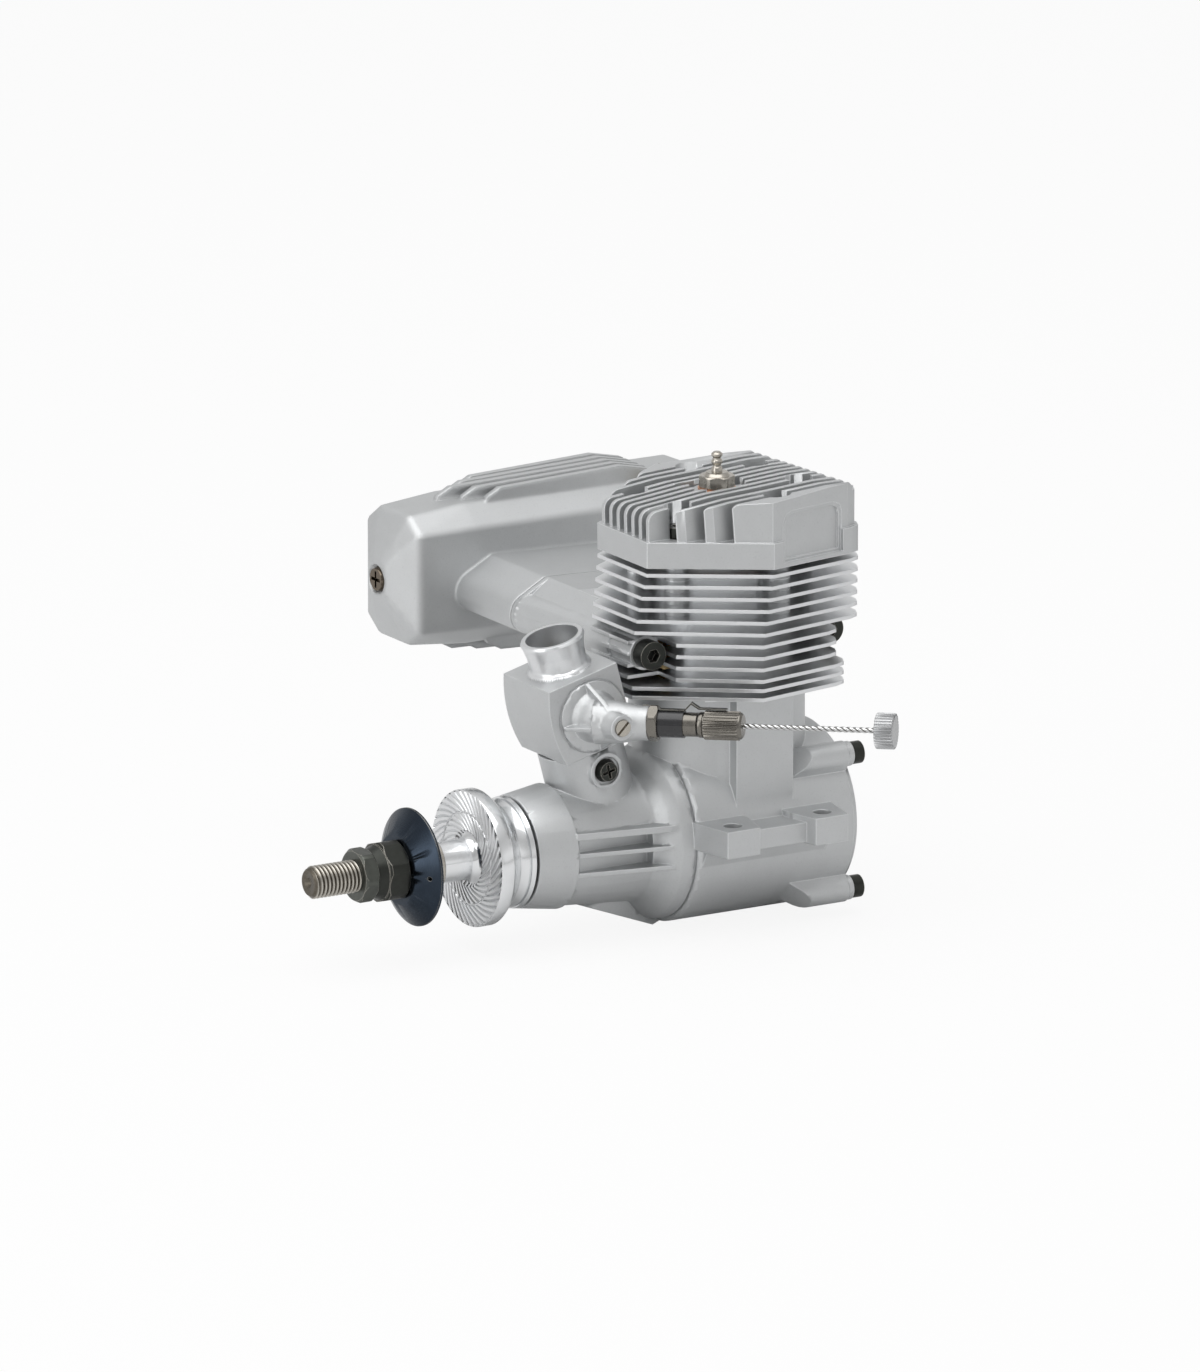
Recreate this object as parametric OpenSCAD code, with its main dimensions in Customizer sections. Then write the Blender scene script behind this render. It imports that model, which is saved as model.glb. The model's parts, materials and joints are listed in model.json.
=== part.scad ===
// Two-stroke glow engine for a model aircraft, with carburettor, remote needle and side muffler.
// Frame: the crankshaft lies along Y with the propeller at -Y, the cylinder stands along +Z,
// the needle valve is on +X and the exhaust on -X. The origin is midway between the four lug
// holes, on the lugs' underside, which is level with the crankshaft's centre line.

/* [Bore and stroke] */
// Cylinder bore
bore_d = 25.8; // [25.4:0.1:26.2]
// Piston stroke
stroke = 23.5; // [22.5:0.25:24]
// Connecting rod length between centres
rod_len = 40; // [39.5:0.25:40.5]
// Piston pin centre to piston crown
crown_h = 13; // [12.5:0.25:13.2]
// Piston length, crown to skirt
piston_len = 20.5; // [19:0.5:21]

/* [Mounting lugs] */
// Distance between lug holes across the engine
lug_hole_dx = 56.2; // [55:0.2:58]
// Distance between lug holes along the engine
lug_hole_dy = 25; // [24:0.5:26]
// Lug hole diameter
lug_hole_d = 4.6; // [4.2:0.1:5]
// Lug outer edge to engine centre
lug_edge_x = 33; // [32.5:0.25:34]
// Lug thickness
lug_t = 6.65; // [6:0.05:7.5]
// Lug pad length along the engine
lug_pad_len = 9.4; // [8.8:0.1:10]

/* [Crankcase] */
// Outer radius of the main drum
drum_r = 22.2; // [21.9:0.1:22.8]
// Crank chamber radius
chamber_r = 18.2; // [18:0.1:18.6]
// Drum's front shoulder, distance ahead of the cylinder axis
drum_front = 18.4; // [18:0.1:19]
// Drum's rear face, distance behind the cylinder axis
case_rear = 25.2; // [24.8:0.1:25.6]
// Nose ring's front face, distance ahead of the cylinder axis
nose_front = 57.3; // [57:0.1:57.6]
// Nose ring length
nose_len = 10; // [9:0.25:11]
// Nose ring radius at the front
nose_r = 13.7; // [13.4:0.1:14]
// Front housing radius at the nose ring
housing_r1 = 15.1; // [14.8:0.1:15.4]
// Cylinder core radius between the fins
core_r = 18.2; // [17.8:0.1:18.8]

/* [Cylinder fins] */
// Number of cylinder fins
fin_n = 12; // [10:1:12]
// Height of the uppermost fin's middle
fin_top_z = 66.3; // [66:0.1:66.6]
// Fin thickness
fin_t = 0.9; // [0.7:0.05:1.2]
// Fin pitch
fin_pitch = 2.83; // [2.7:0.01:2.9]
// Height of the cylinder's top face
deck_z = 67.7; // [67.5:0.1:68.2]

/* [Head] */
// Head gasket thickness
gasket_t = 0.3; // [0.2:0.05:0.5]
// Height of the head's base band
head_band_h = 6.4; // [6:0.1:7]
// Head fin pitch between the front screws
head_fin_pitch = 3.4; // [3.3:0.05:3.5]
// Head fin thickness
head_fin_t = 1.25; // [1:0.05:1.5]
// Head height at its crown, above its base
head_h = 17.4; // [17:0.1:18]

/* [Crankshaft and propeller drive] */
// Main journal diameter
main_d = 17; // [16.6:0.1:17.2]
// Front journal diameter
front_d = 10; // [9.6:0.1:10.2]
// Propeller thread diameter
thread_d = 7.94; // [7.6:0.02:8]
// Shaft tip, distance ahead of the cylinder axis
shaft_tip = 113.2; // [112:0.2:114]
// Crank web radius
web_r = 17.4; // [17:0.1:17.6]
// Crank web thickness
web_t = 8.4; // [8:0.1:8.8]
// Crankpin diameter
crankpin_d = 7; // [6.6:0.1:7.2]
// Drive hub flange radius
hub_r = 16.58; // [16.2:0.02:17]
// Drive hub front face, distance ahead of the cylinder axis
hub_front = 69.6; // [69.2:0.1:70]
// Propeller washer radius
washer_r = 14.26; // [14:0.02:14.6]
// Propeller nut width across its flats
prop_nut_af = 14; // [13.5:0.1:14.5]
// Lock nut width across its flats
lock_nut_af = 12; // [11.5:0.1:12.5]

/* [Carburettor] */
// Forward tilt of the carburettor
carb_tilt = 15; // [14:0.5:16]
// Carburettor body width
carb_w = 21.2; // [20.8:0.1:21.8]
// Throttle rotor diameter
rotor_d = 13.8; // [13.4:0.1:14]
// Air intake bore at the rotor
air_bore_d = 10.6; // [10:0.1:11]
// Needle's angle from +X towards +Y
needle_turn = 46; // [44:1:48]
// Needle's rise above level
needle_rise = 1.5; // [0:0.25:2]
// Needle thimble diameter
thimble_d = 7; // [6.6:0.1:7.2]
// Remote needle knob diameter
knob_d = 8.7; // [8:0.1:9.4]
// Remote needle wire diameter
wire_d = 1.4; // [1.2:0.05:1.6]

/* [Muffler] */
// Exhaust joint plane, distance from the cylinder axis
joint_x = 43; // [42.5:0.25:43.5]
// Muffler body's near face, distance from the cylinder axis
muffler_near_x = 69; // [68.5:0.25:69.5]
// Muffler body width
muffler_w = 26; // [25.5:0.1:26.5]
// Muffler wall
muffler_wall = 2; // [1.8:0.1:2.4]
// Muffler fin pitch
muffler_fin_pitch = 3.4; // [3.2:0.05:3.5]
// Muffler bolt distance ahead of and behind the cylinder axis
bolt_y = 24.8; // [24.6:0.1:25]
// Muffler tail pipe bore
tail_bore_d = 9; // [8.5:0.1:9.4]

/* [Hidden] */
$fn = 64;
eps = 0.01;
run_gap = 0.05;
seat_gap = 0.3;

cast_grey = [0.72, 0.73, 0.74];
bright_alloy = [0.85, 0.86, 0.87];
bare_steel = [0.55, 0.54, 0.52];
black_oxide = [0.15, 0.15, 0.14];
blued_steel = [0.13, 0.16, 0.21];
nickel = [0.62, 0.59, 0.53];
brass = [0.72, 0.57, 0.30];
bronze = [0.62, 0.45, 0.28];
rubber_black = [0.08, 0.08, 0.09];
gasket_grey = [0.35, 0.36, 0.35];
copper = [0.72, 0.45, 0.32];

// Slider and crank
crank_throw = stroke / 2;
wrist_z = crank_throw + rod_len;
crown_z = wrist_z + crown_h;
piston_r = bore_d / 2 - run_gap;
wrist_r = 3;
rod_half_t = 3;
web_rear = rod_half_t + 0.8;
web_front = web_rear + web_t;

// Bearings: outer radius, inner radius, width and front face
rear_brg = [15, main_d / 2, 7, web_front + 8];
front_brg = [11, front_d / 2, 6, nose_front - 0.4];
race_t = 1.9;
tunnel_end = front_brg[3] - front_brg[2];

// Cylinder
liner_t = 1.9;
liner_r = bore_d / 2 + liner_t;
liner_flange_r = liner_r + 1.6;
liner_flange_t = 1.2;
liner_bottom = 26;
port_top = crown_z - stroke + 8.6;
port_bottom = crown_z - stroke - 0.4;
duct_z = 46.4;
duct_half_h = 7.4;

// Head
head_base = deck_z + gasket_t;
band_top = head_base + head_band_h;
front_half_w = 11.5;
front_y = 26.4;
side_x = 27.9;
side_y = 0.9;
rear_half_w = 22.8;
rear_y = 27.2;
crown_inset = 0.7;
crown_lean = 2.2;
outer_fins_x = [15, 18.7];
side_block_x = 22.4;
head_screws_at = [[9.75, -16.9], [-9.75, -16.9], [20.3, 4.5], [-20.3, 4.5], [9.75, 16.9], [-9.75, 16.9]];
head_screw_r = 1.5;
head_screw_head_r = 2.75;
head_screw_head_h = 3;
head_pocket_r = 3.3;
plug_seat_z = head_base + 13.9;
plug_r = 3.15;
plug_washer_t = 0.4;

// Backplate
backplate_t = 1.4;
backplate_gasket_t = 0.2;
backplate_front = case_rear + backplate_gasket_t;
case_screw_x = 16.75;
case_screw_z = 16.6;
case_screw_r = 1.5;
case_screw_head_r = 2.75;
case_screw_head_h = 3;
case_boss_r = 3.3;

// Drive hub and propeller clamp
hub_gap = 0.4;
hub_rear = nose_front + hub_gap;
hub_rim_t = 3.5;
hub_waist_r = 12.7;
hub_nose_r = 5;
hub_nose_len = 9.4;
collet_r1 = 7.4;
collet_r2 = 6.2;
collet_len = 8;
ring_r = 6.8;
ring_len = 3;
washer_rim_t = 1.1;
washer_rim_y = 85.2;
washer_cone_h = 3.8;
prop_nut_len = 8;
lock_nut_len = 3.8;
thread_bore_r = thread_d / 2 + run_gap;
// Under the nuts the thread is drawn at its middle diameter
thread_mid_r = thread_d / 2 - 0.34;
nuts_rear = washer_rim_y + washer_cone_h;
nuts_front = nuts_rear + prop_nut_len + lock_nut_len;

// Carburettor, in a frame on the rotor's axis that leans forward by carb_tilt
rotor_y = -40.9;
rotor_z = 33.7;
carb_front = 11.3;
carb_rear = 9.5;
carb_top = 10.1;
carb_bottom = 9.3;
carb_front_curve_r = 32;
intake_r = 6.45;
intake_depth = 8;
throat_r = 5.6;
throat_y = -0.3;
stub_rim_r = 7.85;
stub_base_r = 6.95;
stub_h = 8.5;
spigot_r = 7.1;
spigot_len = 9.6;
neck_r = 10.3;
neck_top = -carb_bottom - seat_gap;
neck_screw_at = -14.6;
flange_r = 8.67;
boss_end_x = 24.4;
collar_r = 3.1;
mix_screw_r = 2;
lever_x = -16;
lever_len = 17;
lever_rest = -60;
stop_screw_at = [-7.8, 6.6];
stop_screw_r = 1.1;
stop_screw_len = 5;
needle_x0 = 16;
needle_z = rotor_z - 0.3;
arm_r = 4.1;
arm_len = 11;
fuel_nipple_at = 7.6;
fuel_boss_len = arm_r + 1;
holder_start = 6.5;
holder_r = 1.85;
nut_len = 2.4;
sleeve_len = 6.2;
holder_tip = arm_len + nut_len + sleeve_len + 3.2;
thimble_start = holder_tip + 0.4;
thimble_len = 10.7;
knob_start = thimble_start + thimble_len + 32.4;
knob_len = 4.6;

// Muffler
muffler_x = -muffler_near_x - muffler_w / 2;
muffler_z = 48;
neck_end_x = -muffler_near_x - 1.5;
bolt_r = 2;
bolt_z = 46.4;
bolt_head_r = 3.5;
bolt_head_h = 3.8;
bolt_tube_r = 4.2;
bolt_tube_x = 8.1;
muffler_joint_y = 28;
muffler_screw_z = 47.6;
muffler_screw_r = 1.75;
muffler_ridge_t = 1.9;
exhaust_gasket_t = 0.3;
tail_z = 41;
nipple_r = 1.95;
tail_r = tail_bore_d / 2 + 1.4;
tail_len = 12;
tail_seat_len = 8;
tail_root = 44;
tail_tip = 53 + tail_len;
// Reach of the blocks that cut a form in two
far = 120;
duct_front = [-26.7, 45.2];
duct_front_r = 5;

// Placing modules

// Local Z becomes +Y
module along_y() {
    rotate([-90, 0, 0]) children();
}

// Local Z becomes +X, local X becomes +Y and local Y becomes +Z
module along_x() {
    rotate([90, 0, 90]) children();
}

module rod_y(r, y0, y1, x = 0, z = 0) {
    translate([x, y0, z]) along_y() cylinder(r = r, h = y1 - y0);
}

module rod_x(r, x0, x1, y = 0, z = 0) {
    translate([x0, y, z]) along_x() cylinder(r = r, h = x1 - x0);
}

module rod_z(r, z0, z1, x = 0, y = 0) {
    translate([x, y, z0]) cylinder(r = r, h = z1 - z0);
}

// A body turned about the crankshaft's axis, from [radius, y] points
module turned_y(points) {
    along_y() rotate_extrude() polygon(points);
}

// An outline in Y and Z, extruded from x0 to x1
module plate_x(x0, x1) {
    translate([x0, 0, 0]) along_x() linear_extrude(x1 - x0) children();
}

// An outline in X and Z, extruded from y0 to y1
module plate_y(y0, y1) {
    translate([0, y1, 0]) rotate([90, 0, 0]) linear_extrude(y1 - y0) children();
}

module plate_z(z0, z1) {
    translate([0, 0, z0]) linear_extrude(z1 - z0) children();
}

module box(p0, p1) {
    translate(p0) cube(p1 - p0);
}

module both_x() {
    children();
    mirror([1, 0, 0]) children();
}

module both_y() {
    children();
    mirror([0, 1, 0]) children();
}

// A socket-head cap screw standing on z = 0 with its shank downwards
module cap_screw(r, head_r, head_h, len, key_af) {
    difference() {
        union() {
            cylinder(r = head_r, h = head_h);
            translate([0, 0, -len]) cylinder(r = r - run_gap, h = len + eps);
        }
        translate([0, 0, head_h * 0.45]) cylinder(d = key_af / cos(30), h = head_h, $fn = 6);
    }
}

// A pan-head screw with a cross recess, standing on z = 0 with its shank downwards
module cross_screw(r, head_r, head_h, len) {
    difference() {
        union() {
            cylinder(r1 = head_r, r2 = head_r * 0.8, h = head_h);
            translate([0, 0, -len]) cylinder(r = r, h = len + eps);
        }
        for (a = [0, 90])
            rotate([0, 0, a])
                translate([-head_r * 0.6, -head_r * 0.12, head_h * 0.4])
                    cube([head_r * 1.2, head_r * 0.24, head_h]);
    }
}

// A chamfered hexagon nut's outer form, on z = 0
module hex_form(af, h, chamfer) {
    intersection() {
        cylinder(d = af / cos(30), h = h, $fn = 6);
        rotate_extrude() polygon([[0, 0], [af / 2, 0], [af / 2 + chamfer, chamfer],
            [af / 2 + chamfer, h - chamfer], [af / 2, h], [0, h]]);
    }
}

// Outlines

// The head's plan, and that of the fins, whose front face moves forward by step
module fin_plan(step = 0, rear_cut = 0, inset = 0) {
    hw = front_half_w - step * 0.65 - inset * 0.5;
    fy = front_y + step - inset;
    sx = side_x - inset;
    sy = side_y + step;
    ry = rear_y - rear_cut - inset;
    corner = 4;
    rx = sx - (side_x - rear_half_w) * (ry - corner + sy) / (rear_y + side_y);
    polygon([[-hw, -fy], [hw, -fy], [sx, -sy], [rx, ry - corner], [rx - corner * 0.35, ry - corner * 0.3],
        [rx - corner, ry], [corner - rx, ry], [corner * 0.35 - rx, ry - corner * 0.3], [-rx, ry - corner], [-sx, -sy]]);
}

// Where the line from p touches a circle of radius r about c, on side s
function touch(p, c, r, s) =
    let(d = c - p, l = norm(d), a = atan2(d[1], d[0]) + s * asin(r / l), t = sqrt(l * l - r * r))
    [p[0] + t * cos(a), p[1] + t * sin(a)];

// Points along an arc about c from angle a0 to a1
function arc(c, r, a0, a1, steps) = [for (k = [0:steps]) let(a = a0 + (a1 - a0) * k / steps) c + r * [cos(a), sin(a)]];

function heading(p, q) = atan2(q[1] - p[1], q[0] - p[0]);

// Exhaust duct's outline in Y and Z, grown by g, with its round front edge at front
module duct_outline(g = 0, front = duct_front, r = duct_front_r) {
    rear = [25.2, duct_z];
    front_r = r + g;
    rear_r = 5.2 + g;
    tf = [-21.9, duct_z + 7.2 + g];
    tr = [20.4, duct_z + 5.6 + g];
    br = [20.4, duct_z - duct_half_h - g];
    bf = [-20.4, duct_z - duct_half_h - g];
    polygon(concat([tf, tr],
        arc(rear, rear_r, heading(rear, touch(tr, rear, rear_r, 1)), heading(rear, touch(br, rear, rear_r, -1)), 8),
        [br, bf],
        arc(front, front_r, heading(front, touch(bf, front, front_r, 1)),
            heading(front, touch(tf, front, front_r, -1)) - 360, 8)));
}

module duct_passage() {
    translate([-17, duct_z - 5.2]) square([34, 10]);
}

// Muffler section, as [x, z] from its centre, at scale k
function muffler_section(k, lift = 0) = [
    for (s = [1, -1], p = [[13, 13.6], [7.6, 17 + lift], [-7.6, 17 + lift], [-13, 13.6]])
        [p[0] * s * k * muffler_w / 26, p[1] * s * k]];

// Casting

module front_housing() {
    turned_y([[0, -nose_front], [nose_r, -nose_front], [housing_r1 + 0.1, -nose_front + nose_len],
        [housing_r1 - 0.6, -nose_front + nose_len + 0.01], [housing_r1 + 0.9, -26.8], [housing_r1 + 1.2, -26],
        [19, -23.8], [20.6, -21.8], [21.1, -20], [21.2, -drum_front - 0.3], [20.7, -drum_front - 0.3],
        [20.7, -drum_front + 0.2], [drum_r - 0.7, -drum_front + 0.2], [drum_r, -drum_front + 1], [drum_r, case_rear + 1],
        [0, case_rear + 1]]);
    both_x() for (rib = [[4.6, 6.2], [0.2, 1.2], [-4.6, -3.6]])
        plate_z(rib[0], rib[1])
            polygon([[10, -nose_front + nose_len - 0.2], [housing_r1 - 0.7, -nose_front + nose_len - 0.2],
                [19.2, -24], [19.2, -20], [10, -20]]);
    plate_x(-2.2, 2.2) polygon([[-44.5, -13.4], [-19.2, -22.9], [-17, -22], [-17, -10], [-44.5, -10]]);
}

module side_recesses() {
    both_x() {
        for (z = [[1.2, 4.6], [-3.6, 0.2]])
            box([12.9, -nose_front + nose_len + 0.6, z[0]], [30, -27.2, z[1]]);
        box([14.4, -nose_front + nose_len + 0.1, 6.2], [30, -27.6, 7.4]);
    }
}

module carb_neck() {
    on_carb() {
        translate([0, 0, -25]) cylinder(r = neck_r, h = neck_top + 25);
        rod_x(4.4, 0, 10.9, 0, neck_screw_at);
    }
}

module column() {
    // Smooth jacket with wider sides fore and aft for the transfer passages
    rod_z(core_r + 0.4, 0, deck_z);
    for (y = [-5.6, 5.6]) rod_z(16.4, 0, fin_top_z - fin_pitch * 10.4, 0, y);
    // Flat pads on the sides
    both_x() box([15, -6.8, 8.2], [20.5, 9, 35.4]);
    // Columns that carry the head screws
    for (p = head_screws_at) rod_z(3.1, fin_top_z - fin_pitch * 4, deck_z, p[0], p[1]);
    rod_z(2.2, fin_top_z - fin_pitch * 4, deck_z - 1.4, -1.5, -21.5);
}

module cylinder_fins() {
    low_pitch = fin_pitch * 0.8;
    for (k = [0:fin_n - 1]) {
        z = fin_top_z - fin_pitch * min(k, 9) - low_pitch * max(k - 9, 0);
        step = 0.5 * min(k, 6);
        cut = k < 6 ? 0 : (k < 9 ? 6.4 : 4);
        difference() {
            plate_z(z - fin_t / 2, z + fin_t / 2) fin_plan(step, cut);
            if (k > 5 && k < 10) box([bolt_tube_x - 0.6, -front_y - 6, z - 2], [side_x, -front_y + 5.6, z + 2]);
        }
    }
}

module exhaust_duct() {
    lip = 1.5;
    tube_end = 2;
    plate_x(-joint_x, -joint_x + lip) duct_outline();
    plate_x(-joint_x + lip / 2, -8) duct_outline(0, [-bolt_y, bolt_z], bolt_tube_r);
    both_y() rod_x(bolt_tube_r, -joint_x + 1, bolt_tube_x, -bolt_y, bolt_z);
    // The duct's round front edge narrows towards the bolt's boss
    start = [-joint_x + lip / 2, duct_front[0], duct_front[1]];
    hang = [-tube_end, -bolt_y, bolt_z] - start;
    translate(start)
        rotate([0, 0, atan2(hang[1], hang[0])]) rotate([0, -atan2(hang[2], norm([hang[0], hang[1]])), 0])
            along_x() cylinder(r1 = duct_front_r, r2 = bolt_tube_r + 0.25, h = norm(hang));
}

module mounting_lugs() {
    hx = lug_hole_dx / 2;
    hy = lug_hole_dy / 2;
    web_set = 3;
    web_drop = 1.4;
    draft = 0.9;
    both_x() {
        both_y() {
            y0 = -hy - lug_pad_len / 2 + 0.4;
            y1 = -hy + lug_pad_len / 2;
            plate_z(0, lug_t) polygon([[17, y0 - 2.2], [21.5, y0 - 2.2], [lug_edge_x, y0], [lug_edge_x, y1], [24, y1 + 2.4], [17, y1 + 2.4]]);
        }
        plate_y(-hy, hy) polygon([[17, 0.4], [lug_edge_x - web_set, 0.4], [lug_edge_x - web_set, lug_t - web_drop],
            [17, lug_t - web_drop]]);
        // Fillet below the lugs
        plate_y(-hy - lug_pad_len / 2, hy + lug_pad_len / 2)
            polygon([[18, -8], [drum_r - 2.4, -8], [drum_r + draft, -2], [drum_r + 2.4, 0.3], [18, 0.3]]);
    }
}

// Ridges on the drum that carry the backplate screws, with slanted front ends
module screw_bosses() {
    boss_at = norm([case_screw_x, case_screw_z]);
    front = 8.6;
    rear = case_rear + 2;
    for (sx = [0, 1], sz = [0, 1])
        mirror([sx, 0, 0]) mirror([0, 0, sz]) rotate([0, -atan2(case_screw_z, case_screw_x), 0])
            intersection() {
                plate_y(front, rear) union() {
                    translate([boss_at, 0]) circle(r = case_boss_r);
                    polygon([[boss_at - 8, -case_boss_r - 1.6], [boss_at, -case_boss_r], [boss_at, case_boss_r],
                        [boss_at - 8, case_boss_r + 1.6]]);
                }
                plate_z(-9, 9) polygon([[boss_at - 9, front], [drum_r - 1, front], [boss_at + case_boss_r, front + 6.4],
                    [boss_at + case_boss_r, rear], [boss_at - 9, rear]]);
            }
}

module on_carb() {
    translate([0, rotor_y, rotor_z]) rotate([carb_tilt, 0, 0]) children();
}

module crankcase() color(cast_grey) {
    difference() {
        union() {
            front_housing();
            carb_neck();
            column();
            cylinder_fins();
            exhaust_duct();
            mounting_lugs();
            screw_bosses();
        }
        side_recesses();
        // The rear face is machined flat
        box([-40, case_rear, -40], [40, case_rear + 4, 32]);
        // Crank chamber, bearing seats and shaft tunnel
        rod_y(chamber_r, -web_front - 1, case_rear + 1);
        rod_y(rear_brg[0], -rear_brg[3], 0);
        rod_y(main_d / 2 + run_gap, -tunnel_end - 1, 0);
        rod_y(front_brg[0], -nose_front - 1, -tunnel_end);
        // Liner seat
        rod_z(liner_r, 0, deck_z + 1);
        rod_z(liner_flange_r, deck_z - liner_flange_t, deck_z + 1);
        // Transfer passages fore and aft, and the boost passage
        both_y() box([-7, 10, 12], [7, 19, port_top]);
        box([10, -4, 12], [17, 4, port_top - 1]);
        // Exhaust passage
        plate_x(-joint_x - 1, -10) duct_passage();
        both_y() rod_x(bolt_r, -joint_x - 1, bolt_tube_x + 1, -bolt_y, bolt_z);
        // Intake passage under the carburettor
        on_carb() rod_z(spigot_r + run_gap, -rotor_z - 2, neck_top + 1);
        on_carb() rod_x(1.5, 0, 12, 0, neck_screw_at);
        on_carb() rod_x(3.4, 10, 12, 0, neck_screw_at);
        // Threaded holes for the head and the backplate
        for (p = head_screws_at) rod_z(head_screw_r, deck_z - 11, deck_z + 1, p[0], p[1]);
        for (sx = [1, -1], sz = [1, -1])
            rod_y(case_screw_r, case_rear - 10, case_rear + 1, sx * case_screw_x, sz * case_screw_z);
        // Mounting holes
        for (sx = [1, -1], sy = [1, -1])
            rod_z(lug_hole_d / 2, -1, lug_t + 1, sx * lug_hole_dx / 2, sy * lug_hole_dy / 2);
    }
}

// Cylinder and head

module cylinder_liner() color(brass) {
    difference() {
        union() {
            rod_z(liner_r - run_gap, liner_bottom, deck_z);
            rod_z(liner_flange_r - run_gap, deck_z - liner_flange_t, deck_z);
        }
        rod_z(bore_d / 2, liner_bottom - 1, deck_z + 1);
        // Exhaust port, two transfer ports and the boost port
        box([-liner_r - 2, -8, port_bottom], [-8, 8, port_top]);
        both_y() box([-6, 8, port_bottom], [6, 20, port_top - 2.6]);
        box([8, -3.6, port_bottom], [20, 3.6, port_top - 2.8]);
    }
}

module head_gasket() color(copper) {
    difference() {
        rod_z(core_r, deck_z, head_base);
        rod_z(bore_d / 2, deck_z - 1, head_base + 1);
        for (p = head_screws_at) rod_z(head_screw_r + 0.2, deck_z - 1, head_base + 1, p[0], p[1]);
    }
}

// Height of the head's crown at y, where it doesn't lean
function head_top(y) = head_base + head_h
    + lookup(y, [[-front_y, -3.6], [-8, -1.5], [5, -0.8], [17, 0], [rear_y - 4, 0], [rear_y, -1]]);

// The crown's side view, with its front end at front rounded
module crown_view(front) {
    r = 2.6;
    rear = rear_y - crown_inset;
    top = head_top(front + r);
    polygon(concat([[rear, head_base], [front, head_base]], arc([front + r, top - r], r, 180, 96, 6),
        [for (y = [-8, 5, 17, rear_y - 4]) if (y > front + r + 1) [y, head_top(y)]],
        arc([rear - r, head_top(rear) - r], r, 84, 0, 5)));
}

// One fin of the crown, or a block of it, from x0 to x1, on its own front edge
module crown_part(x0, x1) {
    slant = (front_y - side_y) / (side_x - front_half_w);
    front = -front_y + crown_inset + max(0, min(abs(x0), abs(x1)) - front_half_w) * slant;
    plate_x(x0, x1) crown_view(front);
}

module cylinder_head() color(cast_grey) {
    plug_boss_r = 5.6;
    plug_pocket_r = 6.7;
    side_lean = atan2(side_x - rear_half_w, rear_y + side_y);
    recess_y = 3.4;
    recess_len = 18.6;
    recess_h = 12.4;
    recess_depth = 0.9;
    frame_w = 0.8;
    frame_depth = 0.5;
    outline = [[0, 0], [recess_len, 0], [recess_len, recess_h - 2.6], [recess_len - 0.8, recess_h - 0.8],
        [recess_len - 2.6, recess_h], [2.6, recess_h], [0.8, recess_h - 0.8], [0, recess_h - 2.6]];
    difference() {
        union() {
            plate_z(head_base, band_top) fin_plan();
            intersection() {
                plate_z(band_top - 1, head_base + head_h + 1) fin_plan(0, 0, crown_inset);
                translate([side_x, 0, head_base + head_h]) rotate([0, -crown_lean, 0])
                    translate([-side_x, 0, -head_base - head_h]) {
                        for (k = [-3:3]) crown_part(k * head_fin_pitch - head_fin_t / 2, k * head_fin_pitch + head_fin_t / 2);
                        both_x() for (x = outer_fins_x) crown_part(x - head_fin_t / 2, x + head_fin_t / 2);
                        both_x() crown_part(side_block_x - head_fin_t / 2, side_x + 2);
                        both_x() plate_z(band_top - 2, head_top(rear_y) - 1)
                            polygon([[side_block_x, 2], [side_block_x, rear_y], [side_block_x - 3.8, rear_y]]);
                    }
            }
        }
        rod_z(plug_pocket_r, plug_seat_z, head_base + 30);
        for (p = head_screws_at) {
            rod_z(head_pocket_r, band_top - head_screw_head_h + 2.6, head_base + 30, p[0], p[1]);
            rod_z(head_screw_r + 0.1, head_base - 1, band_top + 1, p[0], p[1]);
        }
        // Shallow framed recess on each side
        both_x() translate([side_x, -side_y, 0]) rotate([0, 0, side_lean])
            translate([0, recess_y, head_base + 1]) rotate([90, 0, 90]) {
                translate([0, 0, -recess_depth]) linear_extrude(4) polygon(outline);
                translate([frame_w, frame_w, -recess_depth - frame_depth]) linear_extrude(4)
                    polygon([for (p = outline) [p[0] * (1 - 2 * frame_w / recess_len), p[1] * (1 - 2 * frame_w / recess_h)]]);
            }
        // Combustion chamber
        translate([0, 0, head_base - 4.2]) sphere(r = 9.2);
        rod_z(plug_r + 0.02, head_base - 1, plug_seat_z + 1);
    }
    difference() {
        union() {
            rod_z(plug_boss_r, band_top - 1, plug_seat_z);
            difference() {
                rod_z(bore_d / 2 - run_gap, head_base - 1.6, head_base + eps);
                translate([0, 0, head_base - 4.2]) sphere(r = 9.2);
            }
        }
        rod_z(plug_r + 0.02, head_base - 1, plug_seat_z + 1);
        for (p = head_screws_at) rod_z(head_pocket_r, band_top - head_screw_head_h + 2.6, head_base + 30, p[0], p[1]);
    }
}

module head_screws() color(black_oxide) {
    seat = band_top - head_screw_head_h + 2.6;
    for (p = head_screws_at)
        translate([p[0], p[1], seat])
            cap_screw(head_screw_r, head_screw_head_r, head_screw_head_h, seat - deck_z + 9, 2.5);
}

module glow_plug() color(nickel) {
    seat = plug_seat_z + plug_washer_t;
    translate([0, 0, seat]) {
        difference() {
            union() {
                hex_form(8, 3, 0.3);
                translate([0, 0, 3 - eps]) cylinder(r1 = 3.3, r2 = 2.6, h = 0.8);
                translate([0, 0, -11.4]) cylinder(r = plug_r - run_gap, h = 11.5);
            }
            translate([0, 0, -11.5]) cylinder(r = 1.9, h = 5);
        }
        rotate_extrude() polygon([[0, 3.5], [1.3, 3.5], [1.3, 4.8], [1, 5.1], [1, 5.6], [1.35, 6], [1.35, 6.5],
            [0.95, 7], [0.95, 7.3], [1.35, 7.7], [1.35, 8.2], [0.8, 8.7], [0, 8.7]]);
    }
}

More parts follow.
